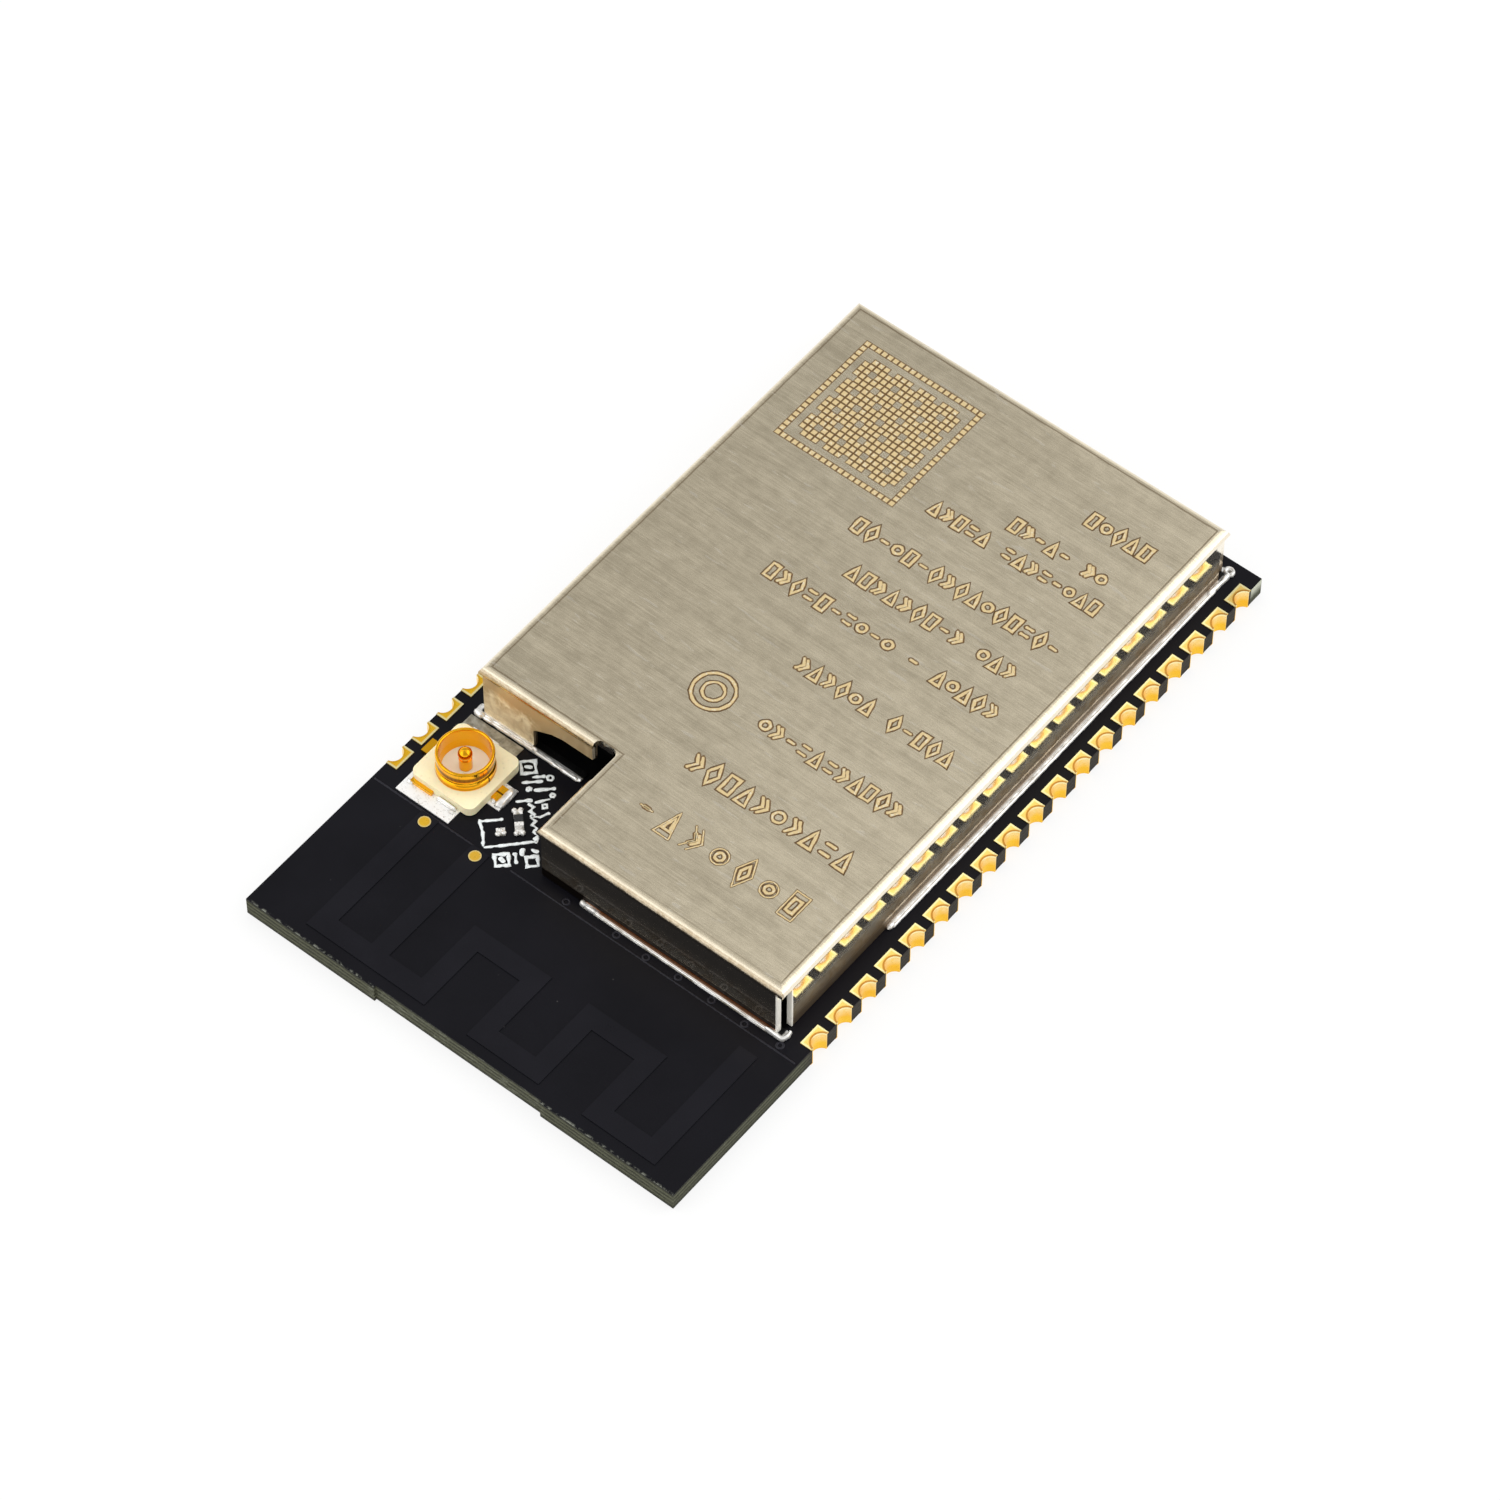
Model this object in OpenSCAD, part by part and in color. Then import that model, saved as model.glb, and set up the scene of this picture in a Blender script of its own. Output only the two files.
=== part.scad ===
// Surface-mount Wi-Fi module: a castellated circuit board with a printed antenna,
// a folded metal shield that is notched for a micro coax socket, and the parts under it.
// The origin is the centre of the board's outline, on the plane it is soldered to.
// +Z is up, the antenna end is towards -Y and the coax socket is on the -X side.

/* [Board] */
// Width of the board across its two pad rows
board_w = 18; // [17.6:0.1:20]
// Length of the board from the antenna end to the far end
board_l = 31.4; // [31:0.1:34]
// Thickness of the laminate
board_t = 0.8; // [0.6:0.1:1.2]
// Thickness of the copper lands on both faces
land_t = 0.04; // [0.03:0.01:0.06]
// Width of the stub where the board was snapped from its panel
break_w = 7; // [4:0.5:10]
// Set-back of that stub from the antenna edge
break_set = 0.1; // [0.05:0.05:0.2]

/* [Edge pads] */
// Centre distance of neighbouring pads
pad_pitch = 1.27; // [1.2:0.01:1.3]
// First pad's centre from the antenna end
first_pad_set = 7.44; // [7.2:0.02:8]
// Least room between the last pad's centre and the far end
pad_far_room = 1; // [0.8:0.05:1.5]
// Width of a pad along the edge
pad_w = 0.9; // [0.75:0.05:1.05]
// Length of a pad's land on the upper face
top_land_l = 0.45; // [0.4:0.05:0.6]
// Length of a pad's land on the lower face
bottom_land_l = 0.9; // [0.7:0.05:1.2]
// Copper left on each side of a half hole
land_rim = 0.09; // [0.06:0.01:0.14]
// Distance of a half hole's centre outside the board's edge
hole_out = 0.09; // [0:0.01:0.14]
// Thickness of the plating in a half hole
plating_t = 0.03; // [0.02:0.01:0.05]

/* [Ground pad] */
// Side of one square of the ground pad on the lower face
ground_square = 0.9; // [0.7:0.1:1.2]
// Gap between the squares
ground_gap = 0.5; // [0.3:0.1:0.7]
// Squares along each side of the ground pad
ground_count = 3; // [2:1:4]

/* [Antenna] */
// Length of the antenna end, from the board's edge to the ground copper
antenna_l = 6.28; // [6:0.02:7]
// Width of the antenna trace
trace_w = 0.74; // [0.5:0.02:0.9]
// Height of the trace under its solder mask
trace_t = 0.03; // [0.02:0.01:0.05]
// Gap between the trace and the antenna edge
trace_edge = 0.5; // [0.3:0.05:0.8]
// Shorting leg's centre from the board's left edge
short_leg_set = 2.54; // [2:0.02:3]
// Feed leg's centre from the shorting leg's
feed_pitch = 2.18; // [1.8:0.02:2.6]
// First meander leg's centre from the feed leg's
meander_lead = 2.13; // [1.8:0.02:2.4]
// Centre distance of two legs that join away from the edge
hump_pitch = 2.53; // [2.2:0.01:2.6]
// Centre distance of two legs that join along the edge
loop_pitch = 2.28; // [2:0.01:2.4]
// Height of the meander
meander_h = 3.4; // [2.6:0.1:4.5]
// Length of the last, open leg
tail_l = 5.2; // [4:0.1:5.4]
// Diameter of a test point
test_d = 0.44; // [0.3:0.02:0.6]
// Set-back of the test points from the ground copper
test_set = 0.31; // [0.3:0.01:0.5]

/* [Shield] */
// Height of the shield above the lands it stands on
shield_h = 2.42; // [2.3:0.02:3]
// Thickness of the sheet
sheet_t = 0.2; // [0.12:0.02:0.24]
// Outer radius of a bend
bend_r = 0.3; // [0.26:0.02:0.4]
// Set-back of the long walls from the board's edges
side_set = 1.05; // [1:0.05:1.3]
// Set-back of the far wall from the far end
far_set = 0.6; // [0.5:0.05:0.9]
// Set-back of the front wall from the edge of the ground copper
front_set = 0.52; // [0.5:0.02:0.8]
// Width of the notch for the coax socket
notch_w = 5.65; // [5.4:0.05:6.2]
// Length of the notch
notch_l = 3.75; // [3.5:0.05:4.2]
// Length of the open slit beside each outer corner
slit_l = 0.5; // [0.3:0.05:0.8]
// Width of the bend relief at the notch's inner corner
relief_w = 0.74; // [0.5:0.02:1]
// Length of the bend relief at the notch's inner corner
relief_l = 1.25; // [0.8:0.05:1.6]
// Corner radius of the bend relief
relief_r = 0.25; // [0.15:0.05:0.3]
// Width of the cable opening beside the bend relief
mouse_w = 2.56; // [2:0.02:3]
// Height of the cable opening
mouse_h = 1.5; // [1.2:0.05:1.7]
// Length of the slope at the cable opening's outer end
mouse_slope_l = 1.3; // [0.4:0.1:2]
// Height of the slope at the cable opening's outer end
mouse_slope_h = 0.5; // [0.2:0.05:0.8]

/* [Shield soldering] */
// Reach of the shield's lands outside the walls
foot_out = 0.16; // [0.14:0.02:0.3]
// Reach of the shield's lands inside the walls
foot_in = 0.1; // [0.05:0.05:0.2]
// Height and width of the solder fillet
fillet_r = 0.12; // [0.08:0.02:0.14]
// Bare stretch at the front end of the side lands
side_bare = 5.45; // [4.5:0.05:7]
// Bare stretch at the notch end of the front land
front_bare = 1.95; // [1:0.05:3]
// Bare stretch at the open end of the notch land
notch_bare = 1.2; // [1:0.05:1.6]
// Length of the far land
far_land_l = 14; // [10:0.5:14.5]

/* [Coax socket] */
// Socket's centre from the board's left edge
socket_x_set = 2.33; // [2.3:0.01:2.6]
// Socket's centre from the notch's far wall
socket_y_set = 2.21; // [2.1:0.01:2.3]
// Side of the square housing
housing_w = 2.65; // [2.5:0.05:2.8]
// Thickness of the housing
housing_t = 0.37; // [0.32:0.01:0.45]
// Corner radius of the housing
housing_r = 0.3; // [0.2:0.05:0.4]
// Outer diameter of the contact ring
ring_d = 2; // [1.9:0.02:2.1]
// Wall of the contact ring
ring_wall = 0.12; // [0.1:0.01:0.14]
// Height of the contact ring above the lands
ring_h = 1.21; // [1.1:0.01:1.4]
// Depth of the latching groove
groove = 0.06; // [0.04:0.01:0.07]
// Radius of the groove's round section
groove_r = 0.16; // [0.12:0.01:0.2]
// Diameter of the centre pin's ball
ball_d = 0.5; // [0.4:0.02:0.6]
// Height of the centre pin above the lands
pin_h = 1.32; // [0.9:0.02:1.36]
// Thickness of the contact strip under the housing
strip_t = 0.14; // [0.1:0.01:0.18]
// Width of the ground contact's end tabs
tab_w = 0.9; // [0.7:0.05:1.1]
// Width of the ground contact's side tab and of the signal tail
tail_w = 0.6; // [0.5:0.05:0.7]
// Reach of the side tab and of the signal tail past the housing
tail_out = 0.38; // [0.2:0.02:0.5]
// Width of a ground land
ground_land_w = 2.27; // [2:0.01:2.4]
// Distance over the outer edges of the two ground lands
ground_land_span = 3.87; // [3.7:0.01:4.1]
// Length of a ground land
ground_land_l = 1.05; // [0.9:0.05:1.2]
// Offset of the ground lands from the socket's centre, away from the signal land
ground_land_set = 0.28; // [0.2:0.02:0.4]
// Width and length of the signal land
signal_land = 1; // [0.8:0.05:1.1]

/* [Antenna link] */
// Link's centre from the notch's side wall
link_x_set = 1.73; // [1.6:0.01:2]
// Link's centre from the notch's far wall
link_y_set = 2.65; // [2.4:0.05:2.8]
// Centre distance of two lands of the link
link_pitch = 0.62; // [0.5:0.01:0.7]
// Side of a land of the link
link_land = 0.3; // [0.24:0.02:0.32]
// Length of the link resistor
link_l = 0.6; // [0.5:0.02:0.7]
// Width of the link resistor
link_w = 0.3; // [0.24:0.02:0.34]
// Height of the link resistor
link_h = 0.25; // [0.2:0.01:0.3]

/* [Chips] */
// Side of the radio chip
chip_w = 5; // [4:0.5:6]
// Height of the radio chip
chip_h = 0.85; // [0.7:0.05:1]
// Contacts along each side of the radio chip
chip_contacts = 12; // [8:1:12]
// Centre distance of the radio chip's contacts
contact_pitch = 0.35; // [0.28:0.01:0.36]
// Room for parts between the shield's front wall and the radio chip
chip_room = 1.7; // [1.5:0.1:2]
// Width of the flash chip's body between its lead rows
flash_w = 5.3; // [4.8:0.1:5.6]
// Length of the flash chip's body along its lead rows
flash_l = 5.25; // [5:0.05:5.6]
// Height of the flash chip's body
flash_h = 1.8; // [1.5:0.05:1.9]
// Width of the memory chip's body between its lead rows
memory_w = 3.9; // [3.6:0.1:4.2]
// Length of the memory chip's body along its lead rows
memory_l = 4.9; // [4.7:0.1:5.2]
// Height of the memory chip's body
memory_h = 1.45; // [1.2:0.05:1.7]
// Gap under both leaded chips
chip_standoff = 0.1; // [0.05:0.01:0.15]
// Reach of a lead past its chip's body
lead_reach = 1.1; // [0.9:0.05:1.3]
// Length of a lead's foot
lead_foot = 0.6; // [0.4:0.05:0.7]
// Width of a lead
lead_w = 0.4; // [0.3:0.02:0.5]
// Thickness of a lead
lead_t = 0.2; // [0.15:0.01:0.24]
// Gap between the leaded chips and the shield's walls
chip_wall_gap = 0.8; // [0.5:0.05:0.9]

/* [Crystal] */
// Length of the crystal's package across the board
crystal_l = 3.2; // [2.5:0.1:3.3]
// Width of the crystal's package
crystal_w = 2.5; // [2:0.1:2.6]
// Height of the crystal's ceramic base
crystal_base_h = 0.5; // [0.4:0.05:0.7]
// Height of the crystal's metal lid
crystal_lid_h = 0.2; // [0.1:0.05:0.3]
// Set-back of the lid from the base's edge
crystal_rim = 0.15; // [0.1:0.05:0.3]
// Gap between the crystal and the shield's walls
crystal_gap = 1.2; // [0.8:0.1:1.4]

/* [Small parts] */
// Length of a small capacitor or resistor
small_l = 1; // [0.8:0.05:1.1]
// Width of a small capacitor or resistor
small_w = 0.5; // [0.4:0.05:0.6]
// Height of a capacitor
capacitor_h = 0.5; // [0.4:0.05:0.6]
// Height of a resistor
resistor_h = 0.35; // [0.25:0.05:0.45]
// Length of an inductor
inductor_l = 1.6; // [1.4:0.1:1.8]
// Width and height of an inductor
inductor_w = 0.8; // [0.6:0.05:0.9]
// Share of a small part's length that each metal end takes
end_share = 0.25; // [0.15:0.01:0.3]
// Centre distance of small parts in a row
row_pitch = 1.6; // [1.4:0.05:1.7]
// Distance from the shield's wall to the centre of the row beside it
row_wall_gap = 0.75; // [0.7:0.05:0.9]

/* [Hidden] */

// Overshoot of a cutting shape past the face that it cuts
cut = 1;

// Levels: the board's upper face and the top of its lands
face_z = land_t + board_t;
land_z = face_z + land_t;

// Edges of the board
left_x = -board_w / 2;
antenna_y = -board_l / 2;
far_y = board_l / 2;
ground_y = antenna_y + antenna_l;

// Side pads: as many as fit between the first pad and the far end
hole_r = pad_w / 2 - land_rim;
pads_per_side = 1 + floor((board_l - first_pad_set - pad_far_room) / pad_pitch);
function pad_y(i) = antenna_y + first_pad_set + i * pad_pitch;

// Outer faces of the shield
wall_x = board_w / 2 - side_set;
wall_far_y = far_y - far_set;
wall_front_y = ground_y + front_set;
notch_x = -wall_x + notch_w;
notch_y = wall_front_y + notch_l;
shield_z = land_z + shield_h;

// Inner faces of the shield
in_x = wall_x - sheet_t;
in_far_y = wall_far_y - sheet_t;
in_front_y = wall_front_y + sheet_t;
in_notch_x = notch_x + sheet_t;
in_notch_y = notch_y + sheet_t;

// Antenna legs, counted from the feed leg
short_x = left_x + short_leg_set;
feed_x = short_x + feed_pitch;
function leg_x(i) =
    feed_x + meander_lead + floor(i / 2) * (hump_pitch + loop_pitch) + (i % 2) * hump_pitch;
trace_low_y = antenna_y + trace_edge + trace_w / 2;
trace_high_y = antenna_y + trace_edge + meander_h - trace_w / 2;

// Coax socket
socket_x = left_x + socket_x_set;
socket_y = notch_y - socket_y_set;
ring_r = ring_d / 2;
bore_r = ring_r - ring_wall;
flange_r = ring_r + ring_wall + groove;
throat_r = bore_r - groove;
tail_gap = tail_w / 3;
strip_hole_r = ball_d / 2 + tail_gap;

// Antenna link: three lands at the corners of a right angle that is turned by 45 degrees
link_x = notch_x - link_x_set;
link_y = notch_y - link_y_set;
link_turn = -45;
link_end = link_l * end_share;

// Chips and crystal
chip_x = (in_notch_x + in_x) / 2;
chip_y = in_front_y + chip_room + chip_w / 2;
contact_w = 0.18;
contact_l = 0.4;
contact_h = 0.2;
chip_pad_w = chip_w * 0.7;
flash_span = flash_w + 2 * lead_reach;
flash_x = -in_x + chip_wall_gap + flash_l / 2;
flash_y = in_far_y - chip_wall_gap - flash_span / 2;
memory_span = memory_w + 2 * lead_reach;
memory_x = in_x - chip_wall_gap - memory_span / 2;
memory_y = flash_y;
lead_pitch = 1.27;
lead_rows = 4;
body_draft = 0.1;
crystal_x = -in_x + crystal_gap + crystal_l / 2;
crystal_y = in_notch_y + crystal_gap + crystal_w / 2;

// Small parts under the shield: [x, y, turn]
front_row = [for (i = [-2:2]) [chip_x + i * row_pitch, in_front_y + row_wall_gap, 0]];
chip_row = [for (i = [-1:1]) [chip_x + i * row_pitch, chip_y + chip_w / 2 + row_wall_gap, 0]];
side_row = [for (i = [-1:1]) [in_x - row_wall_gap, chip_y + i * row_pitch, 90]];
memory_column = [for (i = [-1:1])
    [(flash_x + flash_l / 2 + memory_x - memory_span / 2) / 2, memory_y + i * row_pitch, 90]];
crystal_pair = [for (i = [0, 1])
    [crystal_x + crystal_l / 2 + row_wall_gap, crystal_y + (i - 0.5) * row_pitch, 90]];
middle_y = flash_y - flash_span / 2 - row_wall_gap - small_w;
middle_row = [for (i = [-3:3]) [i * row_pitch, middle_y, 0]];
capacitor_places = concat(front_row, chip_row, memory_column, crystal_pair);
resistor_places = concat(side_row, middle_row);
inductor_places = [
    [in_notch_x + row_wall_gap, chip_y + row_pitch / 2, 90],
    [crystal_x, crystal_y + crystal_w / 2 + crystal_gap, 0],
];

$fn = 48;

// Outlines and repeated shapes

// Places children at each [x, y, turn] of a list
module at_each(places) {
    for (p = places) translate([p[0], p[1], 0]) rotate([0, 0, p[2]]) children();
}

// Rectangle from one corner to the other, with round corners
module round_rectangle(low, high, r) {
    translate([low[0] + r, low[1]]) square([high[0] - low[0] - 2 * r, high[1] - low[1]]);
    translate([low[0], low[1] + r]) square([high[0] - low[0], high[1] - low[1] - 2 * r]);
    for (x = [low[0] + r, high[0] - r], y = [low[1] + r, high[1] - r])
        translate([x, y]) circle(r);
}

// Rectangle with round upper corners only
module arch(width, height, r) {
    square([width, height - r]);
    translate([r, 0]) square([width - 2 * r, height]);
    for (x = [r, width - r]) translate([x, height - r]) circle(r);
}

// Flat block from one corner to the other
module block(low, high) {
    translate(low) cube(high - low);
}

// Side pads, seen as a row along +X's edge

// Round cutters for the half holes of one row
module half_hole_cutters(r) {
    for (i = [0:pads_per_side - 1])
        translate([board_w / 2 + hole_out, pad_y(i), -cut])
            cylinder(r = r, h = land_z + 2 * cut);
}

module pad_row() {
    edge = board_w / 2;
    difference() {
        for (i = [0:pads_per_side - 1]) {
            low_y = pad_y(i) - pad_w / 2;
            block([edge - bottom_land_l, low_y, 0], [edge, low_y + pad_w, land_t]);
            block([edge - top_land_l, low_y, face_z], [edge, low_y + pad_w, land_z]);
            intersection() {
                translate([edge + hole_out, pad_y(i), 0])
                    cylinder(r = hole_r + plating_t, h = land_z);
                block([edge - bottom_land_l, low_y, 0], [edge, low_y + pad_w, land_z]);
            }
        }
        half_hole_cutters(hole_r);
    }
}

// Board

module board() {
    color([0.05, 0.05, 0.07])
        difference() {
            block([left_x, antenna_y, land_t], [-left_x, far_y, face_z]);
            for (side = [0, 1]) mirror([side, 0, 0]) half_hole_cutters(hole_r + plating_t);
            block([-break_w / 2, antenna_y - cut, -cut],
                  [break_w / 2, antenna_y + break_set, face_z + cut]);
        }
}

module pads_left() {
    color([0.95, 0.75, 0.3]) mirror([1, 0, 0]) pad_row();
}

module pads_right() {
    color([0.95, 0.75, 0.3]) pad_row();
}

// Square grid of lands below the radio chip
module ground_pad() {
    step = ground_square + ground_gap;
    start = -(ground_count * step - ground_gap) / 2;
    color([0.95, 0.75, 0.3])
        for (i = [0:ground_count - 1], j = [0:ground_count - 1])
            translate([start + i * step, chip_y + start + j * step, 0])
                cube([ground_square, ground_square, land_t]);
}

// Bare round spots at the upper ends of the antenna's shorting leg and feed leg
module test_points() {
    color([0.98, 0.8, 0.35])
        for (x = [short_x, feed_x])
            translate([x, ground_y - test_set, face_z]) cylinder(d = test_d, h = land_t);
}

// Antenna: a shorting leg and a feed leg, then a meander with one open end

module trace(x0, y0, x1, y1) {
    half = trace_w / 2;
    block([min(x0, x1) - half, min(y0, y1) - half, face_z],
          [max(x0, x1) + half, max(y0, y1) + half, face_z + trace_t]);
}

module antenna_trace() {
    end_y = ground_y - trace_w / 2;
    tail_y = antenna_y + trace_edge + tail_l - trace_w / 2;
    color([0.08, 0.08, 0.1]) {
        difference() {
            for (x = [short_x, feed_x]) trace(x, trace_low_y, x, end_y);
            test_points();
        }
        trace(short_x, trace_low_y, leg_x(0), trace_low_y);
        for (i = [0:3]) trace(leg_x(i), trace_low_y, leg_x(i), trace_high_y);
        for (i = [0, 2]) {
            trace(leg_x(i), trace_high_y, leg_x(i + 1), trace_high_y);
            trace(leg_x(i + 1), trace_low_y, leg_x(i + 2), trace_low_y);
        }
        trace(leg_x(4), trace_low_y, leg_x(4), tail_y);
    }
}

// Shield: one sheet whose walls are folded down from the top plate

// Block whose upper edges are rounded, as two crossed arches
module folded_block(low, high, low_z, high_z, r) {
    size = high - low;
    intersection() {
        translate([low[0], high[1], low_z]) rotate([90, 0, 0])
            linear_extrude(size[1]) arch(size[0], high_z - low_z, r);
        translate([low[0], low[1], low_z]) rotate([90, 0, 90])
            linear_extrude(size[0]) arch(size[1], high_z - low_z, r);
    }
}

// The shield's L-shaped form, with its faces moved in by an inset and its foot at low_z
module shield_form(inset, low_z) {
    high = [wall_x - inset, wall_far_y - inset];
    for (low = [[-wall_x, notch_y], [notch_x, wall_front_y]])
        folded_block(low + [inset, inset], high, low_z, shield_z - inset, bend_r - inset);
}

// Open slits in the long walls beside the outer corners
module corner_slits() {
    slit_top = shield_z - bend_r;
    for (x = [-wall_x, wall_x - sheet_t])
        block([x, wall_far_y - slit_l, land_z - cut], [x + sheet_t, wall_far_y + cut, slit_top]);
    block([wall_x - sheet_t, wall_front_y - cut, land_z - cut],
          [wall_x + cut, wall_front_y + slit_l, slit_top]);
    block([-wall_x - cut, notch_y - cut, land_z - cut],
          [-wall_x + sheet_t, notch_y + slit_l, slit_top]);
    block([notch_x - cut, wall_front_y - cut, land_z - cut],
          [notch_x + sheet_t, wall_front_y + slit_l, slit_top]);
}

// Cable opening, from its outer lower corner
module mouse() {
    high = mouse_h + cut;
    low = high - mouse_slope_h;
    nip = mouse_slope_h / 5;
    polygon([
        [0, 0],
        [0, low - nip],
        [nip, low],
        [mouse_slope_l * 0.6, high - mouse_slope_h / 4],
        [mouse_slope_l, high],
        [mouse_w + relief_r, high],
        [mouse_w + relief_r, 0],
    ]);
}

module shield() {
    color([0.72, 0.68, 0.58])
        difference() {
            shield_form(0, land_z);
            shield_form(sheet_t, land_z - cut);
            corner_slits();
            // Bend relief at the notch's inner corner
            translate([0, 0, land_z - cut]) linear_extrude(shield_h + 2 * cut)
                round_rectangle([notch_x - relief_w, notch_y - relief_l],
                                [notch_x + bend_r / 2, notch_y + bend_r], relief_r);
            // Cable opening in the notch's far wall
            translate([notch_x - relief_w - mouse_w, in_notch_y, land_z - cut]) rotate([90, 0, 0])
                linear_extrude(sheet_t + cut) mouse();
        }
}

// Ground lands under the shield's walls, as [low corner, high corner]
foot_spans = [
    [[in_x - foot_in, wall_front_y + side_bare], [wall_x + foot_out, wall_far_y + foot_out]],
    [[-wall_x - foot_out, wall_front_y + side_bare], [-in_x + foot_in, wall_far_y + foot_out]],
    [[-far_land_l / 2, in_far_y - foot_in], [far_land_l / 2, wall_far_y + foot_out]],
    [[notch_x + front_bare, wall_front_y - foot_out], [wall_x + foot_out, in_front_y + foot_in]],
    [[-wall_x - foot_out, notch_y - foot_out], [notch_x - notch_bare, in_notch_y + foot_in]],
];

module shield_lands() {
    color([0.85, 0.85, 0.83])
        for (span = foot_spans)
            translate([0, 0, face_z]) linear_extrude(land_t)
                round_rectangle(span[0], span[1], foot_in);
}

// Solder fillet along +X from the origin, against a wall on its +Y side
module fillet(length) {
    rotate([90, 0, 90]) linear_extrude(length)
        difference() {
            translate([-fillet_r, 0]) square(fillet_r);
            translate([-fillet_r, fillet_r]) circle(fillet_r - land_t);
        }
}

module shield_solder() {
    long = wall_far_y - slit_l - (wall_front_y + side_bare);
    color([0.92, 0.92, 0.9]) {
        translate([wall_x, wall_front_y + side_bare, land_z]) rotate([0, 0, 90]) fillet(long);
        translate([-wall_x, wall_far_y - slit_l, land_z]) rotate([0, 0, -90]) fillet(long);
        translate([far_land_l / 2, wall_far_y, land_z]) rotate([0, 0, 180]) fillet(far_land_l);
        translate([notch_x + front_bare, wall_front_y, land_z])
            fillet(wall_x - sheet_t - notch_x - front_bare);
        translate([-wall_x + sheet_t, notch_y, land_z])
            fillet(notch_w - relief_w - mouse_w - sheet_t);
        // Bead left on the bare land in front of the cable opening
        translate([notch_x - relief_w - mouse_w, notch_y, land_z]) rotate([90, 0, 90])
            linear_extrude(relief_w + mouse_w - notch_bare) intersection() {
                translate([-foot_out / 2, 0]) circle(foot_out / 2);
                translate([-foot_out, 0]) square(foot_out);
            }
    }
}

// Coax socket, in its own frame on top of its lands

module at_socket() {
    translate([socket_x, socket_y, land_z]) children();
}

module connector_lands() {
    low_x = socket_x - ground_land_set - ground_land_w / 2;
    tail_x = socket_x + housing_w / 2 + tail_out;
    color([0.85, 0.85, 0.83])
        translate([0, 0, face_z]) {
            for (side = [-1, 1])
                translate([low_x, socket_y + side * (ground_land_span - ground_land_l) / 2
                           - ground_land_l / 2, 0])
                    cube([ground_land_w, ground_land_l, land_t]);
            translate([tail_x + signal_land / 8 - signal_land, socket_y - signal_land / 2, 0])
                cube([signal_land, signal_land, land_t]);
        }
}

// Ground contact: a strip with three tabs under a ring that stands through the housing
module ground_contact() {
    half = housing_w / 2;
    tab_x = -ground_land_set - tab_w;
    difference() {
        union() {
            difference() {
                cylinder(r = flange_r, h = strip_t);
                translate([0, 0, -cut]) cylinder(r = strip_hole_r, h = strip_t + 2 * cut);
            }
            block([tab_x, -half - strip_t, 0], [tab_x + tab_w, half + strip_t, strip_t]);
            block([-half - tail_out, -tail_w / 2, 0], [-bore_r, tail_w / 2, strip_t]);
            rotate_extrude() ring_profile();
        }
        block([0, -tail_w / 2 - tail_gap, -cut],
              [half, tail_w / 2 + tail_gap, strip_t + tail_gap / 3]);
    }
}

// Half section of the contact ring: a foot in the housing, a latching groove and a round rim
module ring_profile() {
    rim = ring_wall / 2;
    shoulder = ring_h - housing_t;
    groove_z = housing_t + shoulder * 0.38;
    difference() {
        polygon([
            [throat_r, strip_t],
            [flange_r, strip_t],
            [ring_r + groove / 2, housing_t],
            [ring_r, groove_z],
            [ring_r, ring_h - rim],
            [bore_r, ring_h - rim],
            [bore_r, groove_z],
            [throat_r, housing_t],
        ]);
        translate([ring_r + groove_r - groove, groove_z]) circle(groove_r);
    }
    translate([bore_r + rim, ring_h - rim]) circle(rim);
}

module signal_contact() {
    ball_r = ball_d / 2;
    block([0, -tail_w / 2, 0], [housing_w / 2 + tail_out, tail_w / 2, strip_t]);
    cylinder(r = ball_r * 0.92, h = pin_h - ball_d * 0.9);
    cylinder(r = ball_r * 0.8, h = pin_h - ball_r);
    translate([0, 0, pin_h - ball_r]) sphere(ball_r);
}

module connector_housing() {
    half = housing_w / 2;
    color([0.94, 0.89, 0.72])
        at_socket() difference() {
            linear_extrude(housing_t) round_rectangle([-half, -half], [half, half], housing_r);
            ground_contact();
            signal_contact();
        }
}

module connector_shell() {
    color([0.93, 0.66, 0.2]) at_socket() ground_contact();
}

module connector_pin() {
    color([0.96, 0.72, 0.25]) at_socket() signal_contact();
}

// Antenna link

module at_link() {
    translate([link_x, link_y, 0]) rotate([0, 0, link_turn]) children();
}

module link_lands() {
    reach = link_pitch / 2;
    color([0.85, 0.85, 0.83])
        at_link() for (p = [[-reach, 0], [reach, 0], [reach, -link_pitch]])
            translate([p[0], p[1], face_z + land_t / 2])
                cube([link_land, link_land, land_t], center = true);
}

module link_resistor() {
    color([0.07, 0.07, 0.08]) at_link() small_body(link_l, link_w, link_h);
}

module link_ends() {
    color([0.85, 0.85, 0.83]) at_link() small_ends(link_l, link_w, link_h);
}

// Small two-ended parts, centred on the Z axis and standing on the lands

module small_body(length, width, height) {
    inner = length * (1 - 2 * end_share);
    translate([-inner / 2, -width / 2, land_z]) cube([inner, width, height]);
}

module small_ends(length, width, height) {
    end = length * end_share;
    for (x = [-length / 2, length / 2 - end])
        translate([x, -width / 2, land_z]) cube([end, width, height]);
}

module small_lands(length, width) {
    end = length * end_share;
    for (x = [-length / 2 - end / 2, length / 2 - end])
        translate([x, -width / 2, face_z]) cube([end * 1.5, width, land_t]);
}

module capacitor_bodies() {
    color([0.72, 0.6, 0.45])
        at_each(capacitor_places) small_body(small_l, small_w, capacitor_h);
}

module capacitor_ends() {
    color([0.85, 0.85, 0.83])
        at_each(capacitor_places) small_ends(small_l, small_w, capacitor_h);
}

module resistor_bodies() {
    color([0.07, 0.07, 0.08])
        at_each(resistor_places) small_body(small_l, small_w, resistor_h);
}

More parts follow.
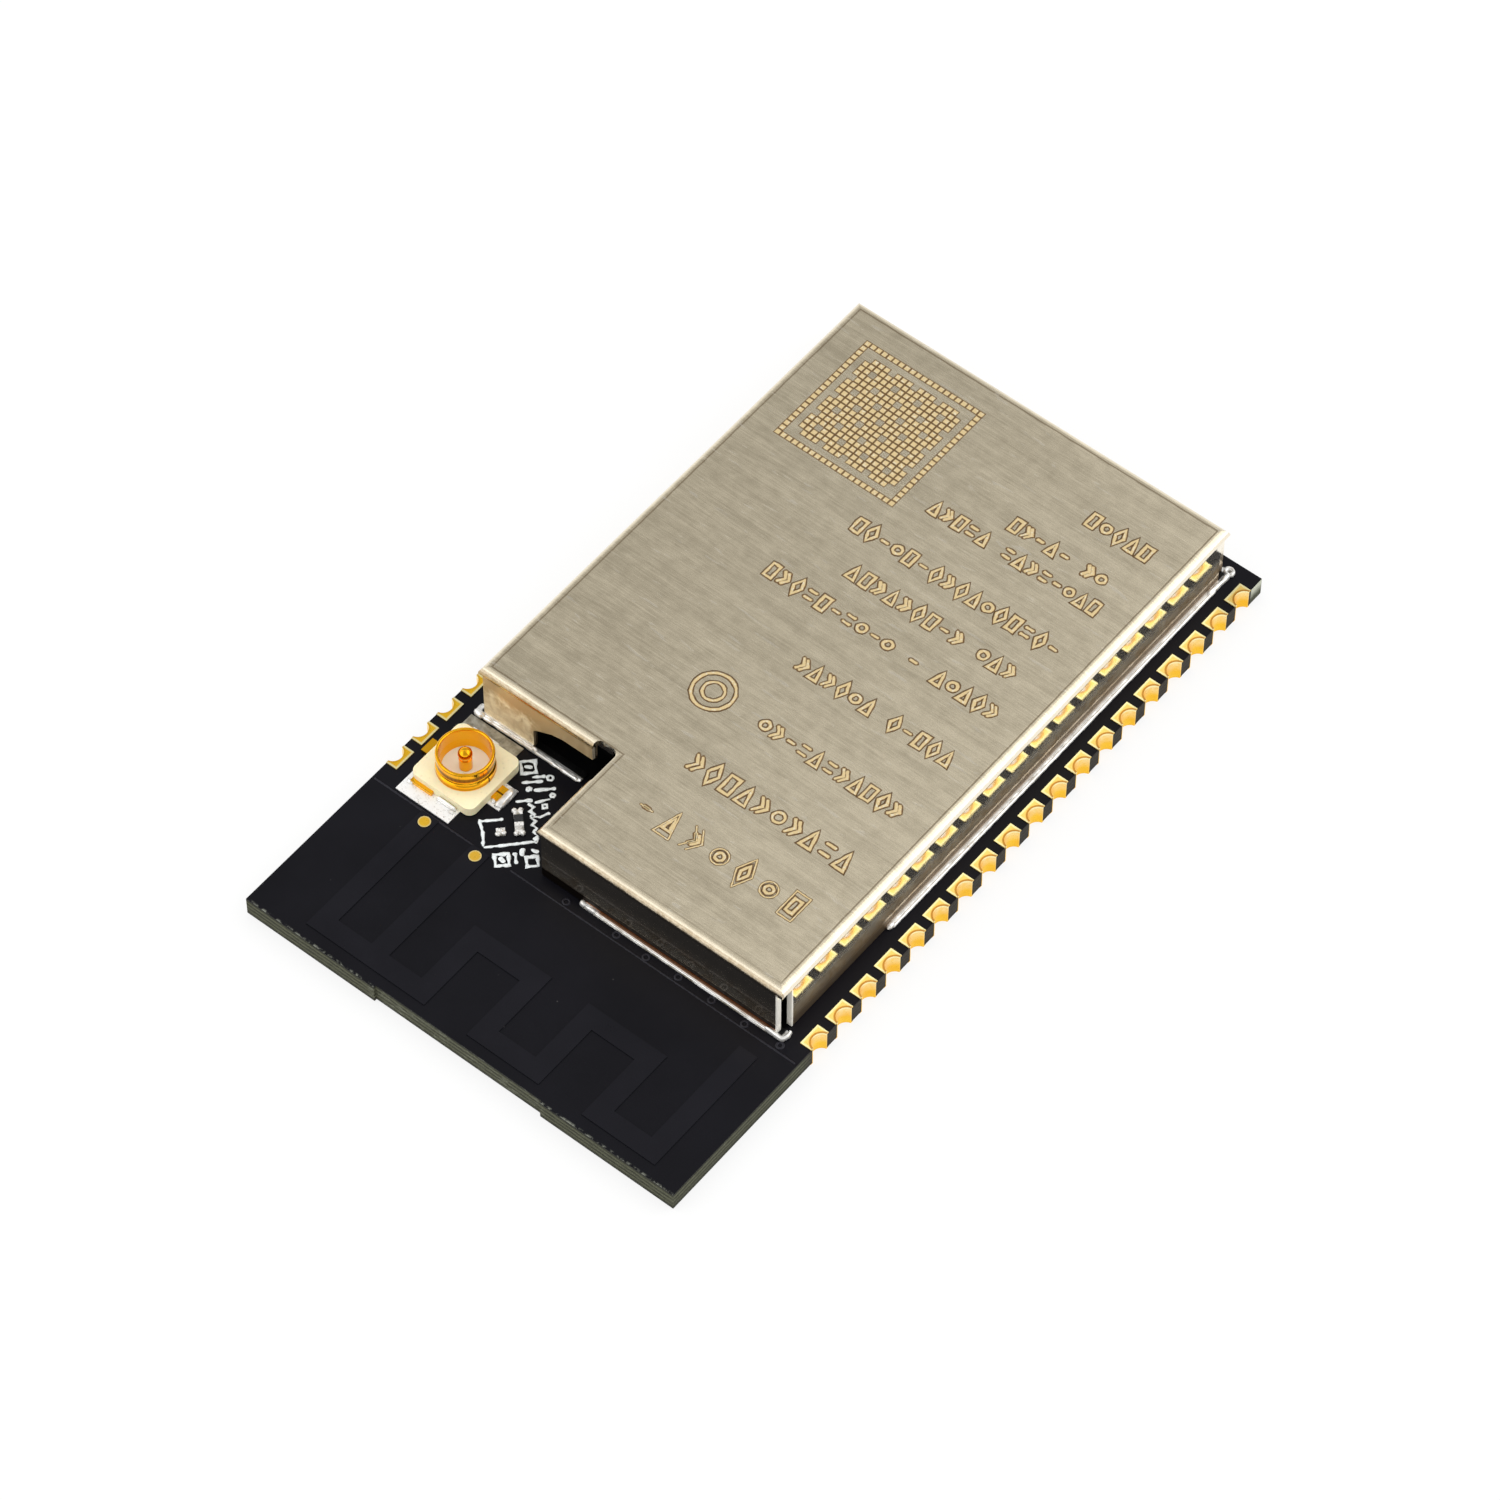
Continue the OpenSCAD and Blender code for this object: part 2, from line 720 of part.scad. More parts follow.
module resistor_ends() {
    color([0.85, 0.85, 0.83])
        at_each(resistor_places) small_ends(small_l, small_w, resistor_h);
}

module inductor_bodies() {
    color([0.3, 0.3, 0.32])
        at_each(inductor_places) small_body(inductor_l, inductor_w, inductor_w);
}

module inductor_ends() {
    color([0.85, 0.85, 0.83])
        at_each(inductor_places) small_ends(inductor_l, inductor_w, inductor_w);
}

// Chips

// Side view of a moulded body, widest where its leads come out
module body_profile(width, height) {
    half = width / 2;
    band = lead_t / 2;
    middle = height / 2;
    polygon([
        [-half + body_draft, 0], [half - body_draft, 0],
        [half, middle - band], [half, middle + band],
        [half - body_draft, height], [-half + body_draft, height],
        [-half, middle + band], [-half, middle - band],
    ]);
}

// Moulded body centred on the Z axis, with a dimple at its first lead
module moulded_body(width, length, height) {
    dimple_r = 0.35;
    dimple_depth = body_draft / 2;
    inset = body_draft + 2 * dimple_r;
    difference() {
        intersection() {
            translate([0, length / 2, 0]) rotate([90, 0, 0])
                linear_extrude(length) body_profile(width, height);
            translate([-width / 2, 0, 0]) rotate([90, 0, 90])
                linear_extrude(width) body_profile(length, height);
        }
        translate([-width / 2 + inset, -length / 2 + inset, height - dimple_depth])
            cylinder(r = dimple_r, h = cut);
    }
}

// One bent lead along +X, from the body's side at x = 0 down to its foot on the land
module lead(body_h) {
    shoulder = chip_standoff + body_h / 2;
    knee = lead_reach - lead_foot;
    rotate([90, 0, 0]) translate([0, 0, -lead_w / 2]) linear_extrude(lead_w)
        polygon([
            [0, shoulder - lead_t / 2],
            [knee - lead_t, shoulder - lead_t / 2],
            [knee, 0],
            [lead_reach, 0],
            [lead_reach, lead_t],
            [knee + lead_t, lead_t],
            [knee, shoulder + lead_t / 2],
            [0, shoulder + lead_t / 2],
        ]);
}

// Two rows of leads beside a body that is centred on the Z axis
module lead_rows(width, body_h) {
    for (side = [0, 180], i = [0:lead_rows - 1])
        rotate([0, 0, side])
            translate([width / 2, (i - (lead_rows - 1) / 2) * lead_pitch, land_z])
                lead(body_h);
}

module lead_lands(width) {
    for (side = [0, 180], i = [0:lead_rows - 1])
        rotate([0, 0, side])
            translate([width / 2 + lead_reach - lead_foot,
                       (i - (lead_rows - 1) / 2) * lead_pitch - lead_w / 2, face_z])
                cube([lead_foot * 1.3, lead_w, land_t]);
}

module at_flash() {
    translate([flash_x, flash_y, 0]) rotate([0, 0, 90]) children();
}

module at_memory() {
    translate([memory_x, memory_y, 0]) children();
}

module flash_chip() {
    color([0.1, 0.1, 0.11])
        at_flash() translate([0, 0, land_z + chip_standoff])
            moulded_body(flash_w, flash_l, flash_h);
}

module flash_leads() {
    color([0.8, 0.8, 0.8]) at_flash() lead_rows(flash_w, flash_h);
}

module memory_chip() {
    color([0.1, 0.1, 0.11])
        at_memory() translate([0, 0, land_z + chip_standoff])
            moulded_body(memory_w, memory_l, memory_h);
}

module memory_leads() {
    color([0.8, 0.8, 0.8]) at_memory() lead_rows(memory_w, memory_h);
}

// Contacts of the radio chip, flush with its lower face and its sides
module chip_contacts_shape() {
    for (turn = [0:90:270], i = [0:chip_contacts - 1])
        rotate([0, 0, turn])
            translate([chip_w / 2 - contact_l,
                       (i - (chip_contacts - 1) / 2) * contact_pitch - contact_w / 2, 0])
                cube([contact_l, contact_w, contact_h]);
    translate([-chip_pad_w / 2, -chip_pad_w / 2, 0]) cube([chip_pad_w, chip_pad_w, contact_h]);
}

module radio_chip() {
    dimple_r = 0.25;
    color([0.1, 0.1, 0.11])
        translate([chip_x, chip_y, land_z]) difference() {
            translate([-chip_w / 2, -chip_w / 2, 0]) cube([chip_w, chip_w, chip_h]);
            chip_contacts_shape();
            translate([-chip_w / 2 + 3 * dimple_r, chip_w / 2 - 3 * dimple_r, chip_h - 0.05])
                cylinder(r = dimple_r, h = cut);
        }
}

module radio_chip_contacts() {
    color([0.8, 0.8, 0.8]) translate([chip_x, chip_y, land_z]) chip_contacts_shape();
}

// Crystal

module crystal_base() {
    color([0.25, 0.24, 0.23])
        translate([crystal_x - crystal_l / 2, crystal_y - crystal_w / 2, land_z])
            cube([crystal_l, crystal_w, crystal_base_h]);
}

module crystal_lid() {
    low = [crystal_x - crystal_l / 2 + crystal_rim, crystal_y - crystal_w / 2 + crystal_rim];
    high = [crystal_x + crystal_l / 2 - crystal_rim, crystal_y + crystal_w / 2 - crystal_rim];
    color([0.85, 0.82, 0.7])
        translate([0, 0, land_z + crystal_base_h])
            linear_extrude(crystal_lid_h) round_rectangle(low, high, 2 * crystal_rim);
}

// Lands of everything that is soldered under the shield
module inner_lands() {
    crystal_land = crystal_w * 0.4;
    color([0.85, 0.85, 0.83]) {
        at_each(concat(capacitor_places, resistor_places)) small_lands(small_l, small_w);
        at_each(inductor_places) small_lands(inductor_l, inductor_w);
        at_flash() lead_lands(flash_w);
        at_memory() lead_lands(memory_w);
        for (x = [-1, 1], y = [-1, 1])
            translate([crystal_x + x * (crystal_l - crystal_land) / 2,
                       crystal_y + y * (crystal_w - crystal_land) / 2, face_z + land_t / 2])
                cube([crystal_land, crystal_land, land_t], center = true);
        translate([chip_x, chip_y, face_z]) {
            for (turn = [0:90:270], i = [0:chip_contacts - 1])
                rotate([0, 0, turn])
                    translate([chip_w / 2 - contact_l,
                               (i - (chip_contacts - 1) / 2) * contact_pitch - contact_w / 2, 0])
                        cube([contact_l * 1.5, contact_w, land_t]);
            translate([-chip_pad_w / 2, -chip_pad_w / 2, 0]) cube([chip_pad_w, chip_pad_w, land_t]);
        }
    }
}

board();
pads_left();
pads_right();
ground_pad();
test_points();
antenna_trace();
shield();
shield_lands();
shield_solder();
connector_lands();
connector_housing();
connector_shell();
connector_pin();
link_lands();
link_resistor();
link_ends();
radio_chip();
radio_chip_contacts();
flash_chip();
flash_leads();
memory_chip();
memory_leads();
crystal_base();
crystal_lid();
capacitor_bodies();
capacitor_ends();
resistor_bodies();
resistor_ends();
inductor_bodies();
inductor_ends();
inner_lands();
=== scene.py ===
import math
import random

import bmesh
import bpy
from bpy.props import FloatProperty, FloatVectorProperty, IntProperty, PointerProperty
from mathutils import Matrix, Vector, noise


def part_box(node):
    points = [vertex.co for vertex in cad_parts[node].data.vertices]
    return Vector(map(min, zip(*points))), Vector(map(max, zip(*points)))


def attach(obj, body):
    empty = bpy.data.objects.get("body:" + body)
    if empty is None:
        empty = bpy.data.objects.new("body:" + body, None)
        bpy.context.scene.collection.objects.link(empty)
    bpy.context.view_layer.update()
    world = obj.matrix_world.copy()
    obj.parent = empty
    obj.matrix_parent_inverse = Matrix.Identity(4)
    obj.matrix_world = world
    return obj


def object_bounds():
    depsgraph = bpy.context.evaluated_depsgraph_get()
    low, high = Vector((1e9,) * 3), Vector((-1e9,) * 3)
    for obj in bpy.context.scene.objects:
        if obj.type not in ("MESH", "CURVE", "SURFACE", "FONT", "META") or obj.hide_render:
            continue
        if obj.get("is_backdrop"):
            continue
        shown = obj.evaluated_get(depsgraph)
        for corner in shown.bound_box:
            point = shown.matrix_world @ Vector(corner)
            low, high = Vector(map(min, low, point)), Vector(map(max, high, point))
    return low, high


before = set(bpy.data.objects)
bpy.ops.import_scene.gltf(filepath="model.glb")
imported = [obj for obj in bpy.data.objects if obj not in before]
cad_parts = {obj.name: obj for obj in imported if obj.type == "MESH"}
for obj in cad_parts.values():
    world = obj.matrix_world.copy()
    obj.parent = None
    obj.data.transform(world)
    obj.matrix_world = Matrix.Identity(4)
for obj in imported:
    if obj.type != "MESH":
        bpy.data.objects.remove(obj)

bl_info = {
    "name": "Wifi module",
    "version": (1, 0, 0),
    "blender": (4, 5, 0),
    "location": "3D View > Sidebar > Wifi module",
    "description": "Finishes, printed marks and solder of a surface-mount wifi module",
    "category": "Object",
}

MM = 0.001
FULL_TURN = 2 * math.pi
PAINTED_SHADE_UNDER_SHIELD = (0.0015, 0.0015, 0.0018)  # painted shade: near black where the board and lands lie under the shield
CAD_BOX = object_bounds()


def corners(node):
    """A node's lowest and highest corners in millimetres."""
    low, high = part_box(node)
    return low / MM, high / MM


BOARD_LOW, BOARD_HIGH = corners("board")
SHIELD_LOW, SHIELD_HIGH = corners("shield")
FACE_Z = BOARD_HIGH.z
LID_Z = SHIELD_HIGH.z


def loose_parts(node):
    """Lowest and highest corners of each separate solid in a node, from the left."""
    shape = bmesh.new()
    shape.from_mesh(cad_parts[node].data)
    bmesh.ops.remove_doubles(shape, verts=shape.verts, dist=1e-6)
    left, parts = set(shape.verts), []
    while left:
        todo, found = [left.pop()], []
        while todo:
            here = todo.pop()
            found.append(here.co / MM)
            for edge in here.link_edges:
                there = edge.other_vert(here)
                if there in left:
                    left.remove(there)
                    todo.append(there)
        parts.append(tuple(Vector(pick(p[k] for p in found) for k in range(3)) for pick in (min, max)))
    shape.free()
    return sorted(parts, key=lambda part: (round(part[0].x, 3), part[0].y))


def notch_corner():
    """The inner corner of the notch in the shield's outline."""
    edge = [v.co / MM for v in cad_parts["shield"].data.vertices]
    front = min(v.x for v in edge if v.y < SHIELD_LOW.y + 0.05)
    side = min(v.y for v in edge if v.x < SHIELD_LOW.x + 0.05)
    return front, side


NOTCH = notch_corner()
INK_FOOT, INK_CREST = FACE_Z - 0.001, FACE_Z + 0.014  # a thin layer's foot in the mask and its top
LASER_FOOT, LASER_CREST = LID_Z + 0.0005, LID_Z + 0.0025


def shade(tint, *factors):
    """A colour times one factor, or one for each channel, held at 1."""
    return tuple(min(1.0, c * k) for c, k in zip(tint, factors * (3 // len(factors))))


# ---------------------------------------------------------------- settings

def length(name, text, millimetres):
    return FloatProperty(name=name, description=text, default=millimetres * MM, min=0.0, unit="LENGTH",
                         precision=6)


def share(name, text, value):
    return FloatProperty(name=name, description=text, default=value, min=0.0, max=1.0, subtype="FACTOR")


def colour(name, text, value):
    return FloatVectorProperty(name=name, description=text, default=value, min=0.0, max=1.0, size=3,
                               subtype="COLOR")


class BoardSettings(bpy.types.PropertyGroup):
    mask: colour("Solder mask", "Colour of the black solder mask", (0.0040, 0.0038, 0.0062))
    laminate: colour("Laminate", "Colour of the sawn glass-fibre edge", (0.068, 0.070, 0.044))
    fibre: colour("Fibre", "Colour of bare glass fibres where the board was broken off", (0.52, 0.54, 0.44))
    mask_roughness: share("Mask roughness", "Roughness of the solder mask", 0.42)
    weave: length("Weave pitch", "Pitch of the glass cloth that shows through the mask", 0.45)
    pour_line: length("Pour edge width", "Width of the step where the copper under the mask ends", 0.07)
    via: length("Via width", "Width of a tented via", 0.32)


class PlatingSettings(bpy.types.PropertyGroup):
    gold: colour("Gold", "Colour of the immersion gold", (1.0, 0.56, 0.02))
    tin: colour("Tin", "Colour of tinned lands", (0.76, 0.74, 0.70))
    solder: colour("Solder", "Colour of reflowed solder", (0.96, 0.95, 0.92))
    # painted reflection: paler gold for the row of pads that takes the brighter light
    gold_painted_reflection: colour("Pale gold", "Colour of the gold towards the brighter row of pads", (1.0, 0.74, 0.24))
    # painted highlight along the gold's edges
    gold_painted_highlight: colour("Gold rim", "Colour of the gold's edges", (1.0, 0.94, 0.52))
    grain: length("Plating grain", "Size of the grain of the plated metal", 0.05)


class ShieldSettings(bpy.types.PropertyGroup):
    sheet: colour("Sheet", "Colour of the nickel-silver sheet", (0.735, 0.648, 0.482))
    bend: colour("Bends", "Colour of the burnished bends and walls", (0.95, 0.86, 0.70))
    press_line: length("Press line", "Distance of the fine press line from the shield's outline", 0.33)
    roughness: share("Roughness", "Roughness of the rolled face", 0.27)
    streak: length("Streak width", "Width of the rolling streaks", 0.045)
    mark: colour("Laser mark", "Colour of a laser mark", (0.84, 0.65, 0.34))
    mark_rim: colour("Laser mark rim", "Colour at the rim of a laser mark", (0.16, 0.08, 0.022))
    stroke: length("Stroke width", "Width of a laser stroke", 0.20)
    cells: IntProperty(name="Cells", description="Cells along one side of the square mark", default=21, min=7,
                       max=41)


class SocketSettings(bpy.types.PropertyGroup):
    housing: colour("Housing", "Colour of the socket's moulding", (0.95, 0.85, 0.56))
    contact: colour("Contact", "Colour of the gold-plated contacts", (1.0, 0.47, 0.012))


class PrintSettings(bpy.types.PropertyGroup):
    ink: colour("Ink", "Colour of the printed marks", (0.90, 0.95, 0.96))
    line: length("Line", "Width of a printed line", 0.112)


class PartSettings(bpy.types.PropertyGroup):
    moulding: colour("Moulding", "Colour of the chips' moulding compound", (0.022, 0.022, 0.024))
    resistor: colour("Resistor", "Colour of a resistor's glaze", (0.016, 0.016, 0.018))
    capacitor: colour("Capacitor", "Colour of a capacitor's fired ceramic", (0.36, 0.24, 0.13))
    inductor: colour("Inductor", "Colour of an inductor's ceramic", (0.055, 0.05, 0.046))
    quartz_base: colour("Crystal base", "Colour of the crystal's ceramic base", (0.045, 0.04, 0.036))


class StageSettings(bpy.types.PropertyGroup):
    floor: colour("Floor", "Colour of the floor", (0.86, 0.86, 0.85))
    floor_width: length("Floor width", "Width of the floor", 700)
    light: FloatProperty(name="Light", description="Strength of the soft light", default=1.0, min=0.0)


GROUPS = {
    "wifi_board": BoardSettings,
    "wifi_plating": PlatingSettings,
    "wifi_shield": ShieldSettings,
    "wifi_socket": SocketSettings,
    "wifi_print": PrintSettings,
    "wifi_parts": PartSettings,
    "wifi_stage": StageSettings,
}


# ---------------------------------------------------------------- finishes

def math_node(operation, flipped=False):
    """A Wire method that adds one Math node. Flipped, the other value comes first."""
    def method(wire, *others):
        values = [*others, wire] if flipped else [wire, *others]
        return wire.finish.node("ShaderNodeMath", {"operation": operation}, values)

    return method


class Wire:
    """One output of a node. Sums and products of wires add Math nodes."""

    def __init__(self, finish, socket):
        self.finish, self.socket = finish, socket

    __add__, __radd__ = math_node("ADD"), math_node("ADD", True)
    __sub__, __rsub__ = math_node("SUBTRACT"), math_node("SUBTRACT", True)
    __mul__, __rmul__ = math_node("MULTIPLY"), math_node("MULTIPLY", True)
    __pow__ = math_node("POWER")
    __abs__ = math_node("ABSOLUTE")
    remainder = math_node("FLOORED_MODULO")
    sine = math_node("SINE")
    least = math_node("MINIMUM")
    most = math_node("MAXIMUM")


class Finish:
    """A node material under construction. Places are in millimetres in the part's own frame."""

    def __init__(self, name, tree=None):
        if tree is None:
            self.material = bpy.data.materials.new(name)
            self.material.use_nodes = True
            tree = self.material.node_tree
        self.tree = tree
        tree.nodes.clear()
        self.kept = {}

    def node(self, kind, settings=None, inputs=None, output=0):
        """Adds a node, applies its settings first, then fills its sockets with values or wires."""
        made = self.tree.nodes.new(kind)
        for key, value in (settings or {}).items():
            setattr(made, key, value)
        pairs = inputs.items() if isinstance(inputs, dict) else enumerate(inputs or [])
        for key, value in pairs:
            socket = made.inputs[key]
            if isinstance(value, Wire):
                self.tree.links.new(value.socket, socket)
            elif value is not None:
                if hasattr(value, "__len__") and len(socket.default_value) == 4 and len(value) == 3:
                    value = (*value, 1.0)
                socket.default_value = value
        return Wire(self, made.outputs[output])

    def once(self, key, maker):
        if key not in self.kept:
            self.kept[key] = maker()
        return self.kept[key]

    @property
    def place(self):
        """Place on the part, in millimetres."""
        return self.once("place", lambda: self.node(
            "ShaderNodeVectorMath", {"operation": "SCALE"},
            {0: self.node("ShaderNodeTexCoord", output="Object"), "Scale": 1 / MM}))

    def axis(self, name):
        """Place along x, y or z, in millimetres."""
        return self.once(name, lambda: self.node(
            "ShaderNodeSeparateXYZ", None, {0: self.place}, name.upper()))

    def facing(self, name):
        """How far the surface faces along an axis, as drawn, from -1 to 1."""
        return self.once("facing" + name, lambda: self.node(
            "ShaderNodeSeparateXYZ", None,
            {0: self.node("ShaderNodeTexCoord", output="Normal")}, name.upper()))

    def stretched(self, factors):
        return self.node("ShaderNodeVectorMath", {"operation": "MULTIPLY"}, {0: self.place, 1: factors})

    def cloud(self, pitch, detail=3.0, rough=0.5, stretch=None, warp=0.0):
        """Noise around 0.5 whose blotches are about pitch millimetres wide."""
        spot = self.stretched(stretch) if stretch else self.place
        return self.node("ShaderNodeTexNoise", {"noise_dimensions": "3D"},
                         {"Vector": spot, "Scale": 1.0 / pitch, "Detail": detail, "Roughness": rough,
                          "Distortion": warp})

    def cells(self, pitch):
        """Distance from the nearest of points that lie about pitch millimetres apart."""
        return self.node("ShaderNodeTexVoronoi", {"feature": "F1"},
                         {"Vector": self.place, "Scale": 1.0 / pitch}, "Distance")

    def between(self, factor, low, high, start=0.0, end=1.0):
        """Factor from low to high turned into start to end, and held there."""
        return self.node("ShaderNodeMapRange", {"clamp": True}, [factor, low, high, start, end])

    def blend(self, factor, first, second):
        """The first colour at factor 0, the second at 1."""
        return self.node("ShaderNodeMix", {"data_type": "RGBA"}, {0: factor, 6: first, 7: second}, 2)

    def bump(self, height, depth, under=None):
        """Height from 0 to 1 stands for depth millimetres."""
        return self.node("ShaderNodeBump", None, {"Height": height, "Distance": depth * MM, "Normal": under})

    def away(self, point):
        """Distance over the board from a point, in millimetres."""
        return self.node("ShaderNodeVectorMath", {"operation": "DISTANCE"},
                         {0: self.stretched((1, 1, 0)), 1: (point[0], point[1], 0)}, "Value")

    def inside_shield(self):
        """Distance inside the shield's outline, in millimetres."""
        x, y = self.axis("x"), self.axis("y")
        return (x - NOTCH[0]).most(y - NOTCH[1]).least(x - SHIELD_LOW.x).least(SHIELD_HIGH.x - x).least(
            y - SHIELD_LOW.y).least(SHIELD_HIGH.y - y)

    def shader(self, **values):
        """A Principled shader: base, rough, metal, normal, and constants by socket name."""
        names = {"base": "Base Color", "rough": "Roughness", "metal": "Metallic", "normal": "Normal",
                 "coat": "Coat Weight"}
        inputs = {names.get(k, k.replace("_", " ")): v for k, v in values.items()}
        return self.node("ShaderNodeBsdfPrincipled", None, inputs)

    def surface(self, **values):
        """Ends the material in one Principled shader."""
        self.node_out(self.shader(**values))
        return self.material

    def node_out(self, shader, kind="ShaderNodeOutputMaterial"):
        out = self.tree.nodes.new(kind)
        self.tree.links.new(shader.socket, out.inputs["Surface"])


def mask_finish(name, settings, tone=1.0):
    """Black solder mask: near black, satin, with the glass cloth and the roll of the ink just visible."""
    f = Finish(name)
    weave = settings.weave / MM
    warp, weft = [(f.axis(name) * (FULL_TURN / weave)).sine() for name in ("x", "y")]
    cloth = warp * weft * 0.5 + 0.5
    drift = f.cloud(3.2, 4.0, 0.55)
    fine = f.cloud(0.05, 2.0, 0.6)
    speck = f.between(f.cells(0.55), 0.05, 0.012)
    thick, thin = shade(settings.mask, 0.86 * tone), shade(settings.mask, 1.25 * tone)
    tint = f.blend(f.between(drift, 0.35, 0.7), thick, thin)
    tint = f.blend(speck * f.between(f.cloud(0.9), 0.55, 0.62) * 0.5, tint, (0.16, 0.15, 0.14))
    gloss = settings.mask_roughness
    rough = f.between(drift + (fine - 0.5) * 0.4, 0.3, 0.75, gloss - 0.07, gloss + 0.09)
    height = cloth * 0.25 + fine * 0.35 + f.cloud(0.5, 3.0) * 0.6
    return f, tint, rough, height


def board_finish(settings):
    """Mask on the faces, sawn glass-fibre laminate round the edge, torn fibres where it was broken off."""
    f, tint, rough, height = mask_finish("board_mask_and_laminate", settings)
    x, y, z = f.axis("x"), f.axis("y"), f.axis("z")
    side = f.between(abs(f.facing("z")), 0.75, 0.4)
    up = f.between(z, BOARD_LOW.z, BOARD_HIGH.z)
    plies = (up * (FULL_TURN * 4.0) + f.cloud(0.9, 2.0) * 2.2).sine() * 0.5 + 0.5
    strands = f.cloud(0.09, 3.0, 0.6, stretch=(0.45, 0.45, 2.6))
    ply = f.blend(f.between(strands * 0.7 + plies * 0.3, 0.35, 0.66),
                  shade(settings.laminate, 0.45), shade(settings.laminate, 1.45))
    lip = f.between(abs(up - 0.5), 0.40, 0.47)
    ply = f.blend(lip * 0.85, ply, shade(settings.mask, 1.3))
    pads_low, pads_high = corners("pads_right")
    long_edge, out = BOARD_HIGH.x, abs(x)
    routed = f.between(y, pads_low.y - 0.5, pads_low.y + 0.1)
    routed = routed * f.between(out, long_edge - 1.2, long_edge - 1.0)
    foot = f.between(up, 0.45, 0.15) * f.between(out, long_edge - 0.3, long_edge - 0.05)
    ply = f.blend(foot * 0.6, ply, shade(settings.laminate, 0.5))
    ply = f.blend(routed * 0.8, ply, (0.03, 0.024, 0.021))
    # the far end of the long edges is olive, paler towards the top as a painted sheen
    end = f.between(y, pads_high.y + 0.02, pads_high.y + 0.06)
    olive = f.blend(f.between(up + (strands - 0.5) * 0.5, 0.3, 0.8), settings.laminate, settings.fibre)
    ply = f.blend(end * 0.9, ply, olive)
    torn = f.between(y, BOARD_LOW.y + 0.16, BOARD_LOW.y + 0.02) * f.between(abs(x + 0.1), 3.9, 3.3)
    streak = f.between(f.cloud(0.16, 4.0, 0.65, stretch=(0.5, 1.0, 2.2)), 0.54, 0.70)
    ply = f.blend(torn * streak * 0.6, ply, settings.fibre)
    base = f.blend(side, tint, ply)
    worn = f.between(y, BOARD_LOW.y + 0.09, BOARD_LOW.y + 0.015)
    worn = worn * f.between(f.cloud(0.22, 4.0, 0.65), 0.47, 0.6)
    base = f.blend(worn * (1 - side) * 0.35, base, settings.fibre)
    # painted shade over the mask where it lies under the shield
    painted_shade_inside = f.between(f.inside_shield(), 0.0, 0.15) * f.between(z, FACE_Z - 0.02, FACE_Z - 0.005)
    base = f.blend(painted_shade_inside * (1 - side), base, PAINTED_SHADE_UNDER_SHIELD)
    sawn = strands * 1.2 + f.cloud(0.045, 3.0, 0.6) * 0.8
    normal = f.bump(height, 0.0022, f.bump(sawn * side, 0.022))
    rough = f.between(side, 0, 1, rough, 0.72)
    return f.surface(base=base, rough=rough, normal=normal, Specular_IOR_Level=0.13)


def mask_over_copper(name, settings, tone, gloss):
    """The same mask where copper lies under it: a touch lighter and smoother."""
    f, tint, rough, height = mask_finish(name, settings, tone)
    return f.surface(base=tint, rough=rough - 0.08, normal=f.bump(height, 0.0018), Specular_IOR_Level=gloss)


def plated(name, tint, grain, rough, depth, stain=0.35, patch=0.6, metal=1.0, over=None):
    """Plated metal: fine grain, slow changes of tone, and thin scratches. over(f, base) paints on top."""
    f = Finish(name)
    fine, slow = f.cloud(grain, 4.0, 0.62), f.cloud(patch, 3.0, 0.55)
    scratch = f.between(f.cloud(0.12, 2.0, 0.5, stretch=(0.25, 2.2, 1.0), warp=0.4), 0.60, 0.68)
    dark = shade(tint, 0.78, 0.64, 0.45)
    pale = tuple(min(1.0, c * 1.08 + 0.01) for c in tint)
    base = f.blend(f.between(slow, 0.35, 0.68), f.blend(stain, tint, dark), pale)
    base = f.blend(f.between(fine, 0.58, 0.75) * 0.15, base, dark)
    if over:
        base = over(f, base)
    height = fine * 0.7 + slow * 1.4 + scratch * 0.3
    return f.surface(base=base, metal=metal, rough=f.between(fine, 0.3, 0.7, rough - 0.05, rough + 0.08),
                     normal=f.bump(height, depth))


